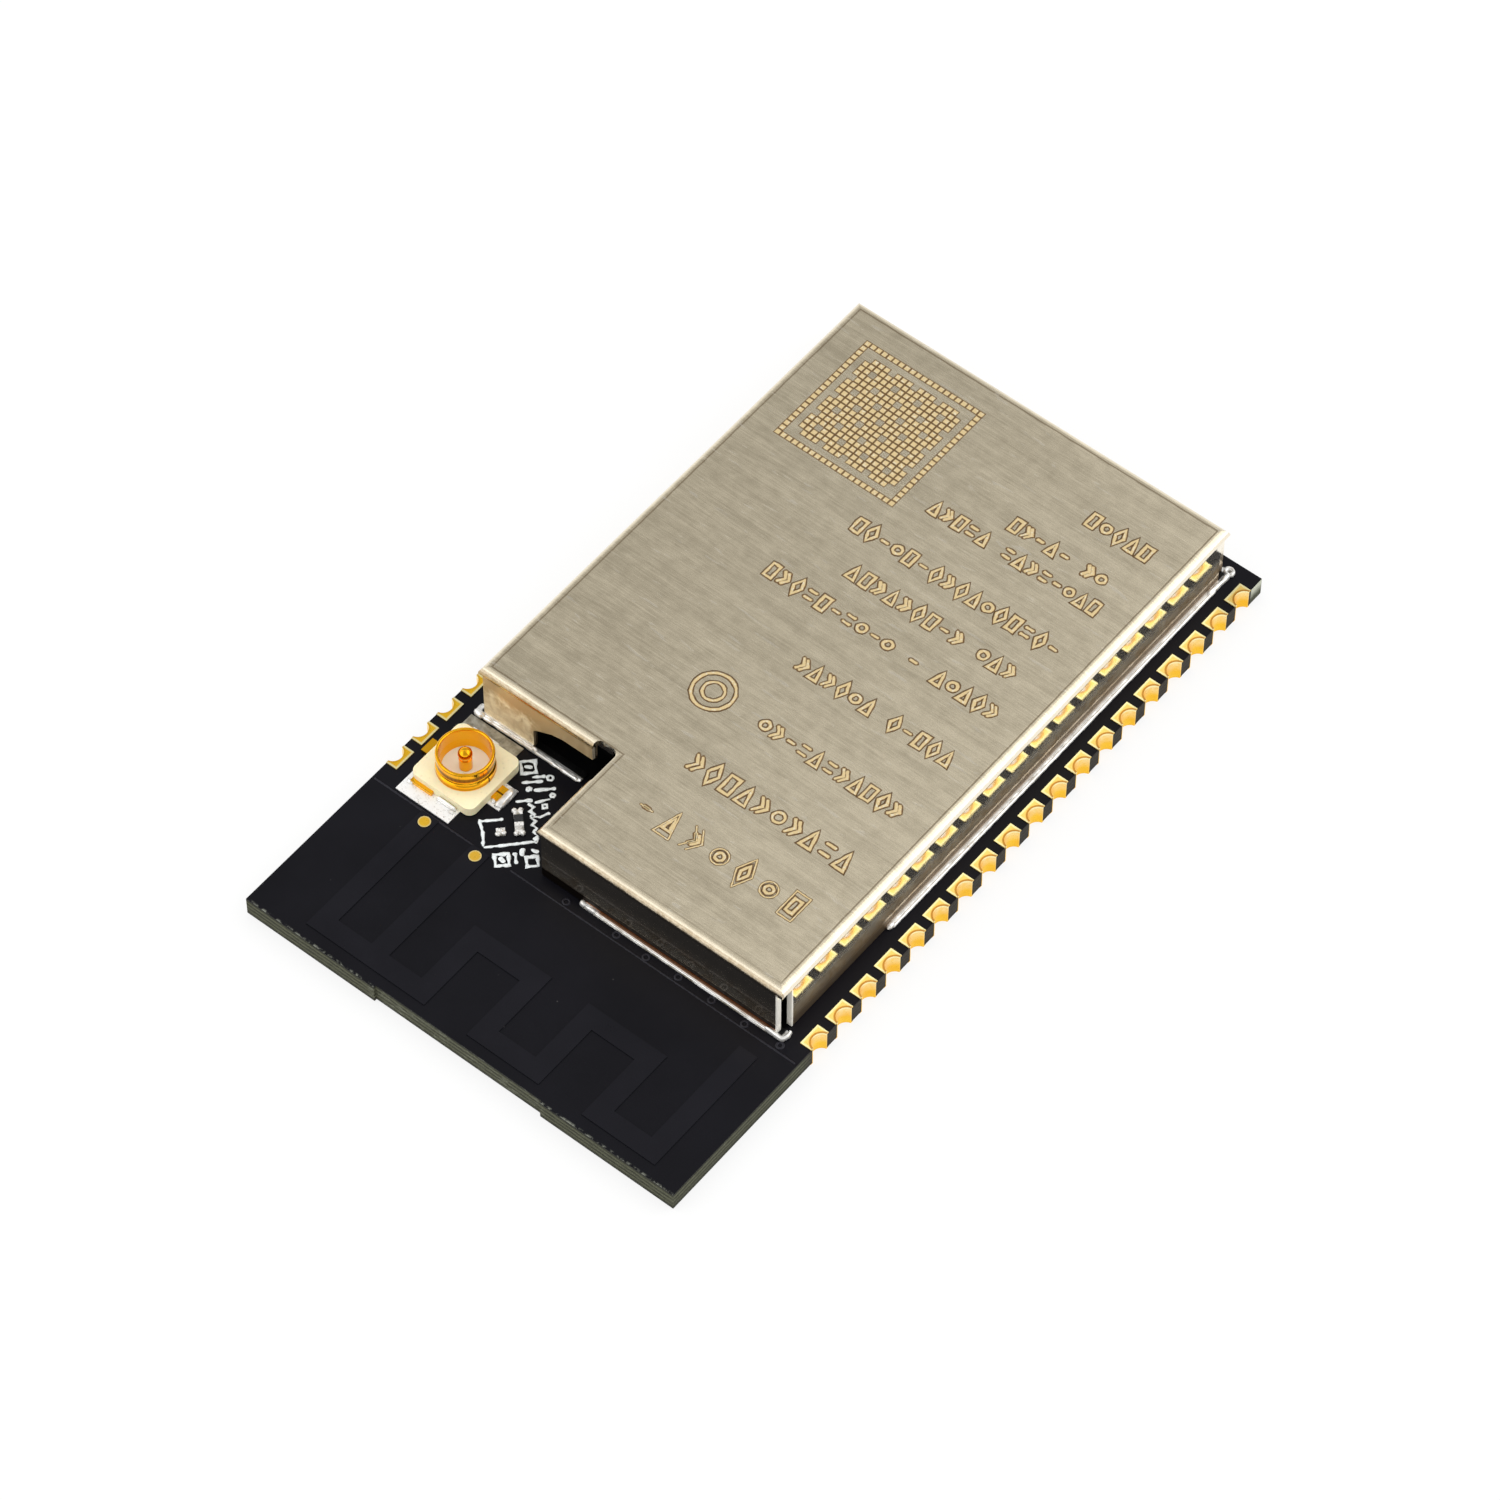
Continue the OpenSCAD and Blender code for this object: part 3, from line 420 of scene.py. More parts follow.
def pad_gold(settings):
    """Immersion gold: a painted highlight along the pads' rims and the half holes' lips, a painted reflection
    that pales the eastern row, a burr round each half hole, and a peach-coloured liner inside it.
    """
    first, second = loose_parts("pads_right")[:2]
    pitch, reach = second[0].y - first[0].y, first[1].y - first[0].y
    test_points = [(low + high) / 2 for low, high in loose_parts("test_points")]
    pad = [v.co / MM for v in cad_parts["pads_right"].data.vertices if v.co.z / MM > FACE_Z + 0.01]
    inner = min(v.x for v in pad)
    hole = min(v.x for v in pad if v.x > inner + 0.01)
    hole_x = BOARD_HIGH.x + 0.09
    radius = hole_x - hole

    def rims(f, base):
        x, z = f.axis("x"), f.axis("z")
        local = (f.axis("y") - first[0].y).remainder(pitch) - reach / 2
        across = abs(x) - inner
        top = f.between(z, FACE_Z + 0.02, FACE_Z + 0.035) * f.between(abs(f.facing("z")), 0.4, 0.6)
        east = f.between(x, -8, 8)
        out = abs(x) - hole_x
        gap = (out * out + local * local) ** 0.5 - radius
        edge = across.least(reach / 2 - abs(local))
        rim = f.between(edge, 0.09, 0.045) * f.between(across, -0.02, 0.0)
        for point in test_points:
            away = f.away(point)
            rim = rim.most(f.between(away, 0.16, 0.21) * f.between(away, 0.4, 0.3) * 0.7)
        # painted reflection: the eastern row of pads is paled towards white gold
        base = f.blend(top * east * 0.75, base, settings.gold_painted_reflection)
        # painted highlight along the pads' edges and round the test points
        base = f.blend(rim * top * 0.85, base, settings.gold_painted_highlight)
        burr = f.between(gap, 0.085, 0.05) * f.between(gap, -0.05, 0.0)
        base = f.blend(burr * top * f.between(east, 0, 1, 0.25, 0.85), base, (0.50, 0.19, 0.012))
        bore = f.between(abs(gap), 0.045, 0.03) * (1 - top)
        liner = bore * f.between(z, FACE_Z - 0.5, FACE_Z - 0.15)
        liner = liner * f.between(f.cloud(0.18, 3.0, 0.6), 0.35, 0.6, 0.45, 0.9)
        base = f.blend(liner, base, (1.0, 0.76, 0.34))
        lip = bore * f.between(z, FACE_Z - 0.07, FACE_Z)
        # painted highlight on the lip of each half hole
        return f.blend(lip * 0.9, base, settings.gold_painted_highlight)

    return plated("immersion_gold", settings.gold, settings.grain / MM, 0.30, 0.003, stain=0.2, metal=0.82,
                  over=rims)


def contact_gold(settings, low, high):
    """Bright gold of the socket's contacts, with painted shade in the ring's groove and a painted contact
    shadow at its foot, darker at its seam.
    """
    seam_x = (low.x + high.x) / 2 + 0.3
    body_low, body_high = corners("connector_housing")
    centre = (body_low + body_high) / 2
    groove_z = body_high.z + (high.z - body_high.z) * 0.55

    def lines(f, base):
        x, y, z = f.axis("x"), f.axis("y"), f.axis("z")
        ring = f.between(f.away(centre), 0.97, 1.0)
        groove = f.between(abs(z - groove_z), 0.20, 0.12)
        foot = f.between(abs(z - body_high.z - 0.07), 0.045, 0.02)
        seam = f.between(abs(y - centre.y), 0.045, 0.02) * f.between(x, seam_x, seam_x + 0.2)
        seam = seam * f.between(z, groove_z + 0.05, groove_z)
        # painted shade in the ring's groove and a painted contact shadow at its foot
        base = f.blend(ring * groove * 0.95, base, (0.15, 0.055, 0.004))
        base = f.blend(ring * foot * 0.6, base, (0.36, 0.15, 0.015))
        return f.blend(ring * seam * 0.9, base, (0.06, 0.02, 0.004))

    return plated("contact_gold", settings.contact, 0.04, 0.12, 0.0012, stain=0.2, patch=0.9, over=lines)


def sheet_finish(settings):
    """Rolled nickel-silver: streaks across the module, soft mottling, a press line, and burnished bends."""
    f = Finish("rolled_shield_sheet")
    x, y, z = f.axis("x"), f.axis("y"), f.axis("z")
    between, blend, sheet, bend = f.between, f.blend, settings.sheet, settings.bend
    across = f.cloud(settings.streak / MM, 3.0, 0.6, stretch=(0.045, 1.0, 0.35))
    broad = f.cloud(0.5, 2.0, 0.5, stretch=(0.07, 1.0, 0.5))
    mottle = f.cloud(0.55, 4.0, 0.6)
    fine = f.cloud(0.03, 2.0, 0.6, stretch=(0.35, 1.0, 1.0))
    nick = between(f.cloud(0.3, 3.0, 0.5, stretch=(0.25, 1.6, 1.0), warp=0.7), 0.635, 0.68)
    # the tone's last term, lighter towards +x, is a painted gradient of light across the shield
    tone = across * 0.45 + broad * 0.25 + mottle * 0.3 + between(x, SHIELD_LOW.x, SHIELD_HIGH.x, -0.04, 0.04)
    base = blend(between(tone, 0.38, 0.62), shade(sheet, 0.80, 0.79, 0.77), shade(sheet, 1.16))
    inside = f.inside_shield()
    line = between(abs(inside - settings.press_line / MM + (mottle - 0.5) * 0.05), 0.042, 0.015)
    top = between(z, LID_Z - 0.10, LID_Z - 0.004)
    calm = between(y, SHIELD_LOW.y + 0.55, SHIELD_LOW.y + 0.4)
    base = blend(line * top * (1 - calm * 0.7) * 0.65, base, (0.22, 0.15, 0.08))
    base = blend(1 - top, base, blend(across * 0.7 + mottle * 0.3, shade(bend, 0.86), shade(bend, 1.06)))
    base = blend(nick * 0.25, base, (0.92, 0.88, 0.80))
    dents = f.cloud(0.13, 3.0, 0.6)
    # the walls that face the antenna: the front one, and the one at the back of the notch; their bends carry
    # painted shade
    front = between(y, SHIELD_LOW.y + 0.14, SHIELD_LOW.y + 0.09)
    nook = between(x, NOTCH[0] + 0.05, NOTCH[0]) * between(y, NOTCH[1] + 0.14, NOTCH[1] + 0.09)
    wall = between(z, LID_Z - 0.22, LID_Z - 0.34)
    shaded = front.most(nook) * (1 - wall) * between(dents + (mottle - 0.5) * 0.6, 0.38, 0.62, 0.97, 0.70)
    base = blend(shaded, base, shade(bend, 0.42, 0.37, 0.30))
    base = blend(nook * between(z, LID_Z - 0.1, LID_Z - 0.25) * 0.75, base, (0.56, 0.36, 0.12))
    patch = f.cloud(0.45, 4.0, 0.62, warp=0.6)
    # a painted highlight at the far end of the wall at the back of the notch
    lit = nook * between(x + (patch - 0.5) * 0.8, NOTCH[0] - 2.9, NOTCH[0] - 3.5)
    lit = lit * between(z + (patch - 0.5) * 1.6, LID_Z - 0.75, LID_Z - 1.35)
    base = blend(lit * between(patch, 0.38, 0.60, 0.98, 0.40), base, (1.0, 0.86, 0.58))
    # the east wall: a painted highlight over its upper part, darker and browner towards its foot
    east = between(f.facing("x"), 0.6, 0.8)
    low = between(z, LID_Z - 1.2, LID_Z - 1.8)
    base = blend(east * (1 - low) * wall * 0.7, base, (1.0, 0.95, 0.83))
    base = blend(low * east * 0.75, base, (0.48, 0.37, 0.24))
    stain = between(f.cloud(0.7, 4.0, 0.6, warp=0.9), 0.46, 0.60) * between(z, LID_Z - 1.0, LID_Z - 1.5)
    base = blend(stain * (1 - lit) * 0.4, base, (0.50, 0.31, 0.12))
    # painted shadow along the foot, and a thin orange line on the front wall that is a painted reflection of
    # the solder
    painted_foot_shadow = between(z + (dents - 0.5) * 0.10, FACE_Z + 0.50, FACE_Z + 0.42)
    foot = blend(east, (0.022, 0.015, 0.010), (0.20, 0.14, 0.09))
    base = blend(painted_foot_shadow * (1 - east * 0.25) * (1 - lit), base, foot)
    # a thin orange-brown line low on the front wall: a painted reflection of the solder
    flux = front * between(z, FACE_Z + 0.22, FACE_Z + 0.17) * between(x, -0.4, -0.2)
    base = blend(flux * 0.8, base, (0.40, 0.14, 0.02))
    # raw cut edges at the open corners
    front_end = between(abs(x - SHIELD_HIGH.x + 0.23), 0.045, 0.03)
    front_end = front_end * between(y, SHIELD_LOW.y + 0.24, SHIELD_LOW.y + 0.21)
    side_end = between(abs(y - SHIELD_LOW.y - 0.53), 0.045, 0.03)
    side_end = side_end * between(x, SHIELD_HIGH.x - 0.22, SHIELD_HIGH.x - 0.20)
    cut = front_end.most(side_end) * wall
    base = blend(cut, base, (0.95, 0.92, 0.84))
    metal = 1 - (cut * 0.8).most(lit * 0.5).most(nook * wall * 0.25)
    rolled = across * 0.8 + fine * 0.5 + mottle * 0.7 + broad * 0.5 - nick * 0.5
    height = rolled * (1 - wall * 0.8) - line * top * 0.8 + dents * (1 - top) * (1 - wall) * 1.8
    burnished = between(wall, 0, 1, 0.17, 0.06) + (across - 0.5) * 0.06 + painted_foot_shadow * 0.4
    rough = between(top, 0, 1, burnished, settings.roughness + (fine - 0.5) * 0.10)
    # a sharp lobe and a soft one over it, stronger towards the foot
    normal = f.bump(height, 0.0042)
    sharp = f.shader(base=base, metal=metal, rough=rough, normal=normal)
    soft = f.shader(base=base, metal=metal, Roughness=0.5, normal=normal)
    veil = between(z + (mottle - 0.5) * 0.5, 2.4, 1.5, 0.05, 0.5).most(nook * 0.85)
    f.node_out(f.node("ShaderNodeMixShader", None, {0: wall * veil * (1 - front * 0.7), 1: sharp, 2: soft}))
    return f.material


def solder_finish(settings):
    """Reflowed solder: bright, nearly smooth, with flux haze in places."""
    f = Finish("reflowed_solder")
    x, y = f.axis("x"), f.axis("y")
    lump, grain = f.cloud(0.35, 2.0, 0.5), f.cloud(0.05, 3.0, 0.6)
    haze = f.between(f.cloud(0.4, 3.0, 0.6), 0.58, 0.70)
    base = f.blend(f.between(lump, 0.4, 0.65), shade(settings.solder, 0.88), settings.solder)
    base = f.blend(haze * 0.4, base, (0.40, 0.33, 0.24))
    near_wall = f.between(y, SHIELD_LOW.y - 0.085, SHIELD_LOW.y - 0.06)
    near_wall = near_wall * f.between(y, SHIELD_LOW.y + 0.1, SHIELD_LOW.y + 0.05)
    shadow = near_wall * f.between(x, 0.0, 0.4) * f.between(x, SHIELD_HIGH.x - 0.3, SHIELD_HIGH.x - 0.5)
    base = f.blend(shadow * 0.95, base, (0.16, 0.06, 0.012))
    return f.surface(base=base, metal=0.6, rough=f.between(grain, 0.3, 0.7, 0.12, 0.22) + haze * 0.15,
                     normal=f.bump(lump * 1.4 + grain * 0.12, 0.010))


def tinned(name, tint, dull, shade_under_shield=False):
    """Tinned land. dull(f) is 1 where it is olive-grey and patchy, and 0 where it is white and pitted."""
    f = Finish(name)
    patch, grain = f.cloud(0.28, 4.0, 0.62, warp=0.6), f.cloud(0.03, 3.0, 0.6)
    pit = f.between(f.cloud(0.05, 3.0, 0.6), 0.60, 0.66) * f.between(f.cloud(0.4), 0.44, 0.55)
    olive, grey = shade(tint, 0.32, 0.30, 0.24), shade(tint, 0.62, 0.60, 0.53)
    faded = f.blend(f.between(patch, 0.36, 0.64), olive, grey)
    fresh = f.blend(f.between(patch, 0.40, 0.30), (0.93, 0.925, 0.91), shade(tint, 0.9))
    fresh = f.blend(pit * 0.75, fresh, (0.20, 0.18, 0.14))
    worn = dull(f)
    base = f.blend(worn, fresh, faded)
    if shade_under_shield:
        # painted shade where the land runs in under the shield
        base = f.blend(f.between(f.inside_shield(), 0.0, 0.05), base, PAINTED_SHADE_UNDER_SHIELD)
    return f.surface(base=base, metal=f.between(worn, 0, 1, 0.3, 0.6),
                     rough=f.between(patch + (grain - 0.5) * 0.5, 0.35, 0.65, 0.50, 0.34),
                     normal=f.bump(patch * 1.2 + grain * 0.3 - pit * 0.6, 0.010))


def moulded(name, tint, rough, grain, depth, mottle=0.14, coat=0.0, subsurface=0.0, over=None):
    """Moulded or fired body: fine skin, faint flow marks and small dark pits."""
    f = Finish(name)
    skin, flow = f.cloud(grain, 3.0, 0.6), f.cloud(0.55, 4.0, 0.6, warp=0.5)
    pit = f.between(f.cells(grain * 5), 0.25, 0.08)
    base = f.blend(f.between(flow, 0.36, 0.66), shade(tint, 1 - mottle), shade(tint, 1 + mottle * 0.6))
    base = f.blend(pit * 0.3, base, shade(tint, 0.6))
    if over:
        base = over(f, base)
    return f.surface(base=base, rough=f.between(skin, 0.3, 0.7, rough - 0.08, rough + 0.08), coat=coat,
                     normal=f.bump(skin * 0.8 + flow * 0.8 - pit * 0.4, depth), Subsurface_Weight=subsurface,
                     Subsurface_Scale=0.0002)


def ink_finish(settings):
    """Printed ink: matt and slightly thin in places."""
    f = Finish("printed_ink")
    grain, patch = f.cloud(0.035, 3.0, 0.65), f.cloud(0.12, 3.0, 0.6)
    base = f.blend(f.between(patch, 0.4, 0.65), settings.ink, shade(settings.ink, 0.80))
    return f.surface(base=base, rough=f.between(grain, 0.3, 0.7, 0.5, 0.75),
                     normal=f.bump(grain + patch, 0.012))


def laser_finish(settings):
    """Laser-marked metal: pale fired line, browner towards its rim, broken where the beam pulsed."""
    f = Finish("laser_mark")
    rim = f.node("ShaderNodeAttribute", {"attribute_name": "rim"}, None, "Fac")
    pulse, grain = f.cloud(0.09, 2.0, 0.6), f.cloud(0.025, 3.0, 0.65)
    edge = f.between(rim + (pulse - 0.5) * 0.7, 0.10, 0.42)
    base = f.blend(edge, settings.mark, settings.mark_rim)
    base = f.blend(f.between(grain, 0.5, 0.7) * 0.25, base, (0.90, 0.80, 0.60))
    # pale spots along the middle of the line are painted highlights
    base = f.blend(f.between(pulse, 0.56, 0.66) * (1 - edge) * 0.7, base, (1.0, 0.95, 0.78))
    return f.surface(base=base, metal=0.75, rough=f.between(grain, 0.3, 0.7, 0.34, 0.55),
                     normal=f.bump(grain + pulse, 0.006))


# ---------------------------------------------------------------- shapes

def dress(node, material):
    """Gives a CAD node its finish."""
    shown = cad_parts[node]
    if not shown.data.materials:
        shown.data.materials.append(material)
    for slot in shown.material_slots:
        slot.link = "OBJECT"
        slot.material = material


def piece_from(name, mesh_maker, material, smooth=True):
    """Builds a new piece in millimetres, sets it in the frame and hangs it on the part."""
    shape = bmesh.new()
    mesh_maker(shape)
    bmesh.ops.scale(shape, vec=(MM, MM, MM), verts=shape.verts)
    mesh = bpy.data.meshes.new(name)
    shape.normal_update()
    shape.to_mesh(mesh)
    shape.free()
    if not mesh.polygons:
        raise RuntimeError(f"{name} came out empty")
    mesh.polygons.foreach_set("use_smooth", [smooth] * len(mesh.polygons))
    mesh.materials.append(material)
    piece = bpy.data.objects.new(name, mesh)
    bpy.context.scene.collection.objects.link(piece)
    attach(piece, "root")


def stroke(shape, points, width, low, high, closed=False, wobble=0.0, seed=0, flat=0.5):
    """A flat line with rounded ends: a low rim, a raised middle, and a rim value of 1 at its edge.

    flat is the middle's share of the width.
    """
    rim = shape.verts.layers.float.get("rim") or shape.verts.layers.float.new("rim")
    dice = random.Random(seed)
    path = [Vector((p[0], p[1])) for p in points]
    if wobble:
        finer = []
        for a, b in zip(path, path[1:] + (path[:1] if closed else [])):
            steps = max(1, round((b - a).length / (width * 0.9)))
            finer += [a.lerp(b, i / steps) for i in range(steps)]
        path = finer + ([] if closed else [path[-1]])
    count = len(path)
    rows = []
    for i, here in enumerate(path):
        before = path[i - 1] if i or closed else None
        after = path[(i + 1) % count] if i < count - 1 or closed else None
        a = (here - before).normalized() if before is not None else (after - here).normalized()
        b = (after - here).normalized() if after is not None else a
        along = a + b
        along = along.normalized() if along.length > 1e-6 else a
        side = Vector((-along.y, along.x))
        miter = min(1.6, 1 / max(0.4, side.dot(Vector((-a.y, a.x)))))
        half = width * 0.5 * miter * (1 + wobble * (dice.random() - 0.5) * 2)
        shift = side * (wobble * width * 0.35 * (dice.random() - 0.5))
        middle = here + shift
        rows.append([shape.verts.new((*(middle + side * half * k), low if abs(k) == 1 else high))
                     for k in (-1, -flat, flat, 1)])
        rows[-1][0][rim] = rows[-1][3][rim] = 1.0
    pairs = list(zip(rows, rows[1:])) + ([(rows[-1], rows[0])] if closed else [])
    for r, s in pairs:
        for k in range(3):
            shape.faces.new((r[k], s[k], s[k + 1], r[k + 1]))
        shape.faces.new((r[3], s[3], s[0], r[0]))
    if closed:
        return
    reach = width * 0.5 * 0.85
    for row, other, at_start in ((rows[0], rows[1], True), (rows[-1], rows[-2], False)):
        back = row[0].co + row[3].co - other[0].co - other[3].co
        back.z = 0
        back.normalize()
        tips = [shape.verts.new((*(row[k].co.xy + back.xy * reach), low)) for k in (1, 2)]
        for tip in tips:
            tip[rim] = 1.0
        a, b, c, d = row
        for loop in ((a, b, tips[0]), (b, c, tips[1], tips[0]), (c, d, tips[1])):
            shape.faces.new(loop if at_start else tuple(reversed(loop)))


def arc_path(cx, cy, r, start, end, steps):
    """Points along an arc, angles in degrees."""
    turns = [math.radians(start + (end - start) * i / steps) for i in range(steps + 1)]
    return [(cx + r * math.cos(turn), cy + r * math.sin(turn)) for turn in turns]


def ring_path(cx, cy, r, steps):
    return arc_path(cx, cy, r, 0, 360, steps)[:-1]


def lump(shape, centre, size, height, seed, square, sides=20):
    """A dome of reflowed metal on an uneven foot. square above 2 makes it fill its land's corners."""
    cx, cy, z0 = centre
    rings, rough = 6, 0.12
    rows = []
    for i in range(rings):
        t = i / rings
        row = []
        for k in range(sides):
            a = FULL_TURN * k / sides
            c, d = math.cos(a), math.sin(a)
            corner = (abs(c) ** square + abs(d) ** square) ** (-1 / square)
            wave = 1 + rough * noise.noise(Vector((c * 1.3 + seed, d * 1.3, t * 0.8 + seed * 0.7)))
            r = math.cos(t * math.pi / 2) ** 0.7 * corner * wave
            row.append(shape.verts.new((cx + size[0] / 2 * r * c, cy + size[1] / 2 * r * d,
                                        z0 + height * math.sin(t * math.pi / 2) * wave)))
        rows.append(row)
    top = shape.verts.new((cx, cy, z0 + height))
    for a, b in zip(rows, rows[1:]):
        for k in range(sides):
            m = (k + 1) % sides
            shape.faces.new((a[k], a[m], b[m], b[k]))
    for k in range(sides):
        shape.faces.new((rows[-1][k], rows[-1][(k + 1) % sides], top))
    shape.faces.new(list(reversed(rows[0])))


def bead(shape, points, width, height, z0, seed, rough=0.25, step=0.04):
    """A line of reflowed metal: half round across, rounded at its ends, a little uneven."""
    sides, rounds = 8, 3
    path = [Vector(p) for p in points]
    fine = []
    for a, b in zip(path, path[1:]):
        count = max(1, round((b - a).length / step))
        fine += [a.lerp(b, i / count) for i in range(count)]
    fine.append(path[-1])
    for _ in range(rounds):
        eased = [(a + b * 2 + c) / 4 for a, b, c in zip(fine, fine[1:], fine[2:])]
        fine = [fine[0], *eased, fine[-1]]
    runs = [0.0]
    for a, b in zip(fine, fine[1:]):
        runs.append(runs[-1] + (b - a).length)
    rows = []
    for i, here in enumerate(fine):
        along = (fine[min(i + 1, len(fine) - 1)] - fine[max(i - 1, 0)]).normalized()
        side = Vector((-along.y, along.x))
        near = min(1.0, min(runs[i], runs[-1] - runs[i]) / (width / 2))
        end = max(0.2, math.sqrt(1 - (1 - near) ** 2))
        wave = 1 + rough * noise.noise(Vector((here.x * 4, here.y * 4, seed)))
        arch = [math.pi * k / sides for k in range(sides + 1)]
        rows.append([shape.verts.new((*(here + side * (width / 2 * end * wave * math.cos(turn))),
                                      z0 + height * end * wave * math.sin(turn))) for turn in arch])
    for r, s in zip(rows, rows[1:]):
        for k in range(sides):
            shape.faces.new((r[k], r[k + 1], s[k + 1], s[k]))
        shape.faces.new((r[sides], r[0], s[0], s[sides]))
    shape.faces.new(rows[0])
    shape.faces.new(list(reversed(rows[-1])))


# ---------------------------------------------------------------- operators

class WIFI_OT_board(bpy.types.Operator):
    """Board, antenna and what shows of the copper under the mask"""
    bl_idname = "wifi.board"
    bl_label = "Board"

    def execute(self, context):
        s = context.scene.wifi_board
        dress("board", board_finish(s))
        dress("antenna_trace", mask_over_copper("mask_over_antenna", s, 1.3, 0.17))
        copper = mask_over_copper("mask_over_copper_edge", s, 2.6, 0.35)
        edge_y = corners("test_points")[1].y + 0.09
        line, via = s.pour_line / MM, s.via / MM
        rim, beside_socket = 0.12, (-4.6, -3.0)
        via_places = (-0.8, 1.3, 2.6, 3.9, 5.3, 6.7, 8.1)

        def pour(shape):
            runs = ((BOARD_LOW.x + rim, beside_socket[0]), (beside_socket[1], BOARD_HIGH.x - rim))
            for k, (x0, x1) in enumerate(runs):
                stroke(shape, [(x0, edge_y), (x1, edge_y)], line, INK_FOOT, INK_CREST, wobble=0.3, seed=k)
            for k, x in enumerate(via_places):
                ring = arc_path(x, edge_y + 0.2 + 0.04 * math.sin(k * 2.3), via * 0.36, 0, 330, 11)
                stroke(shape, ring, via * 0.3, INK_FOOT, INK_CREST + 0.006, closed=True)

        piece_from("copper_edge_under_mask", pour, copper)
        return {"FINISHED"}


class WIFI_OT_pads(bpy.types.Operator):
    """Gold edge pads, ground pad and test points"""
    bl_idname = "wifi.pads"
    bl_label = "Gold pads"

    def execute(self, context):
        gold = pad_gold(context.scene.wifi_plating)
        for node in ("pads_left", "pads_right", "ground_pad", "test_points"):
            dress(node, gold)
        return {"FINISHED"}


class WIFI_OT_shield(bpy.types.Operator):
    """Shield can, its lands and its solder"""
    bl_idname = "wifi.shield"
    bl_label = "Shield"

    def execute(self, context):
        s, p = context.scene.wifi_shield, context.scene.wifi_plating
        dress("shield", sheet_finish(s))
        solder = solder_finish(p)
        dress("shield_solder", solder)
        dress("shield_lands", tinned("shield_land_tin", p.tin, lambda f: f.between(f.cloud(0.9), 0.62, 0.42),
                                     shade_under_shield=True))
        left, notch, far, front, right = loose_parts("shield_solder")
        z = front[0].z

        def beads(shape):
            start, end = front[0], front[1]
            y = start.y + 0.04
            bead(shape, [(start.x - 0.08, y + 0.03), (start.x + 0.22, y)], 0.22, 0.17, z, 1)
            bead(shape, [(start.x + 0.18, y - 0.02), (start.x + 0.62, y)], 0.15, 0.13, z, 2)
            for side, (low, high) in ((1, right), (-1, left)):
                x = (low.x + high.x) / 2
                if side > 0:
                    corner = [(end.x - 0.45, y), (end.x + 0.05, y - 0.02), (x + 0.02, y - 0.02),
                              (x + 0.1, y + 0.18), (x + 0.05, y + 0.42)]
                    bead(shape, corner, 0.17, 0.17, z, 3)
                bead(shape, [(x, low.y - 0.06), (x, low.y + 0.3)], 0.22, 0.15, z, 4 + side)
                far_end = [(x, high.y - 0.7), (x + side * 0.05, high.y), (x + side * 0.06, high.y + 0.48)]
                bead(shape, far_end, 0.19, 0.16, z, 6 + side)
                bead(shape, arc_path(x, high.y + 0.58, 0.15, -60, 320, 18), 0.17, 0.15, z, 7 + side)
                x, y_far = far[1].x, far[1].y
                bead(shape, [(side * (x - 0.2), y_far - 0.03), (side * (x + 0.12), y_far - 0.02)],
                     0.2, 0.15, z, 8 + side)
            # the strips themselves are a little uneven
            step = 0.06
            bead(shape, [(start.x + 0.5, start.y + 0.02), (end.x - 0.2, start.y + 0.02)],
                 0.075, 0.05, z, 21, 0.4, step)
            bead(shape, [(right[1].x + 0.02, right[0].y + 0.1), (right[1].x + 0.01, right[1].y - 0.3)],
                 0.14, 0.10, z, 22, 0.25, step)
            (x0, y0), x1 = notch[0].xy, notch[1].x
            bead(shape, [(x0 + 0.05, y0 + 0.01), (x1 - 0.05, y0 + 0.01)], 0.14, 0.11, z, 23, 0.4, step)
            bead(shape, [(x0 - 0.36, y0 + 0.06), (x0 - 0.12, y0 + 0.05), (x0 + 0.1, y0 + 0.03)],
                 0.27, 0.17, z, 11)
            bead(shape, [(NOTCH[0] - 3.3, y0 + 0.06), (NOTCH[0] - 3.02, y0 + 0.03)], 0.2, 0.19, z, 12)

        piece_from("shield_solder_ends", beads, solder)
        return {"FINISHED"}


def glyph(kind, x, y, h, v):
    """Lines of one plain mark, h and v being half its width and height, and whether they close."""
    if kind == "box":
        return [[(x - h * 0.9, y - v * 0.8), (x + h * 0.9, y - v * 0.8), (x + h * 0.9, y + v * 0.8),
                 (x - h * 0.9, y + v * 0.8)]], True
    if kind == "diamond":
        return [[(x, y - v), (x + h, y), (x, y + v), (x - h, y)]], True
    if kind == "ring":
        return [ring_path(x, y, min(h, v), 14)], True
    if kind == "triangle":
        return [[(x - h, y - v * 0.8), (x + h, y - v * 0.8), (x, y + v * 0.8)]], True
    if kind == "bars":
        return [[(x - h * 0.9, y + k * v * 0.45), (x + h * 0.9, y + k * v * 0.45)] for k in (-1, 1)], False
    if kind == "dash":
        return [[(x - h * 0.8, y), (x + h * 0.8, y)]], False
    backs = [x - h, x - h * 0.1]
    return [[(back, y - v * 0.7), (back + h, y), (back, y + v * 0.7)] for back in backs], False


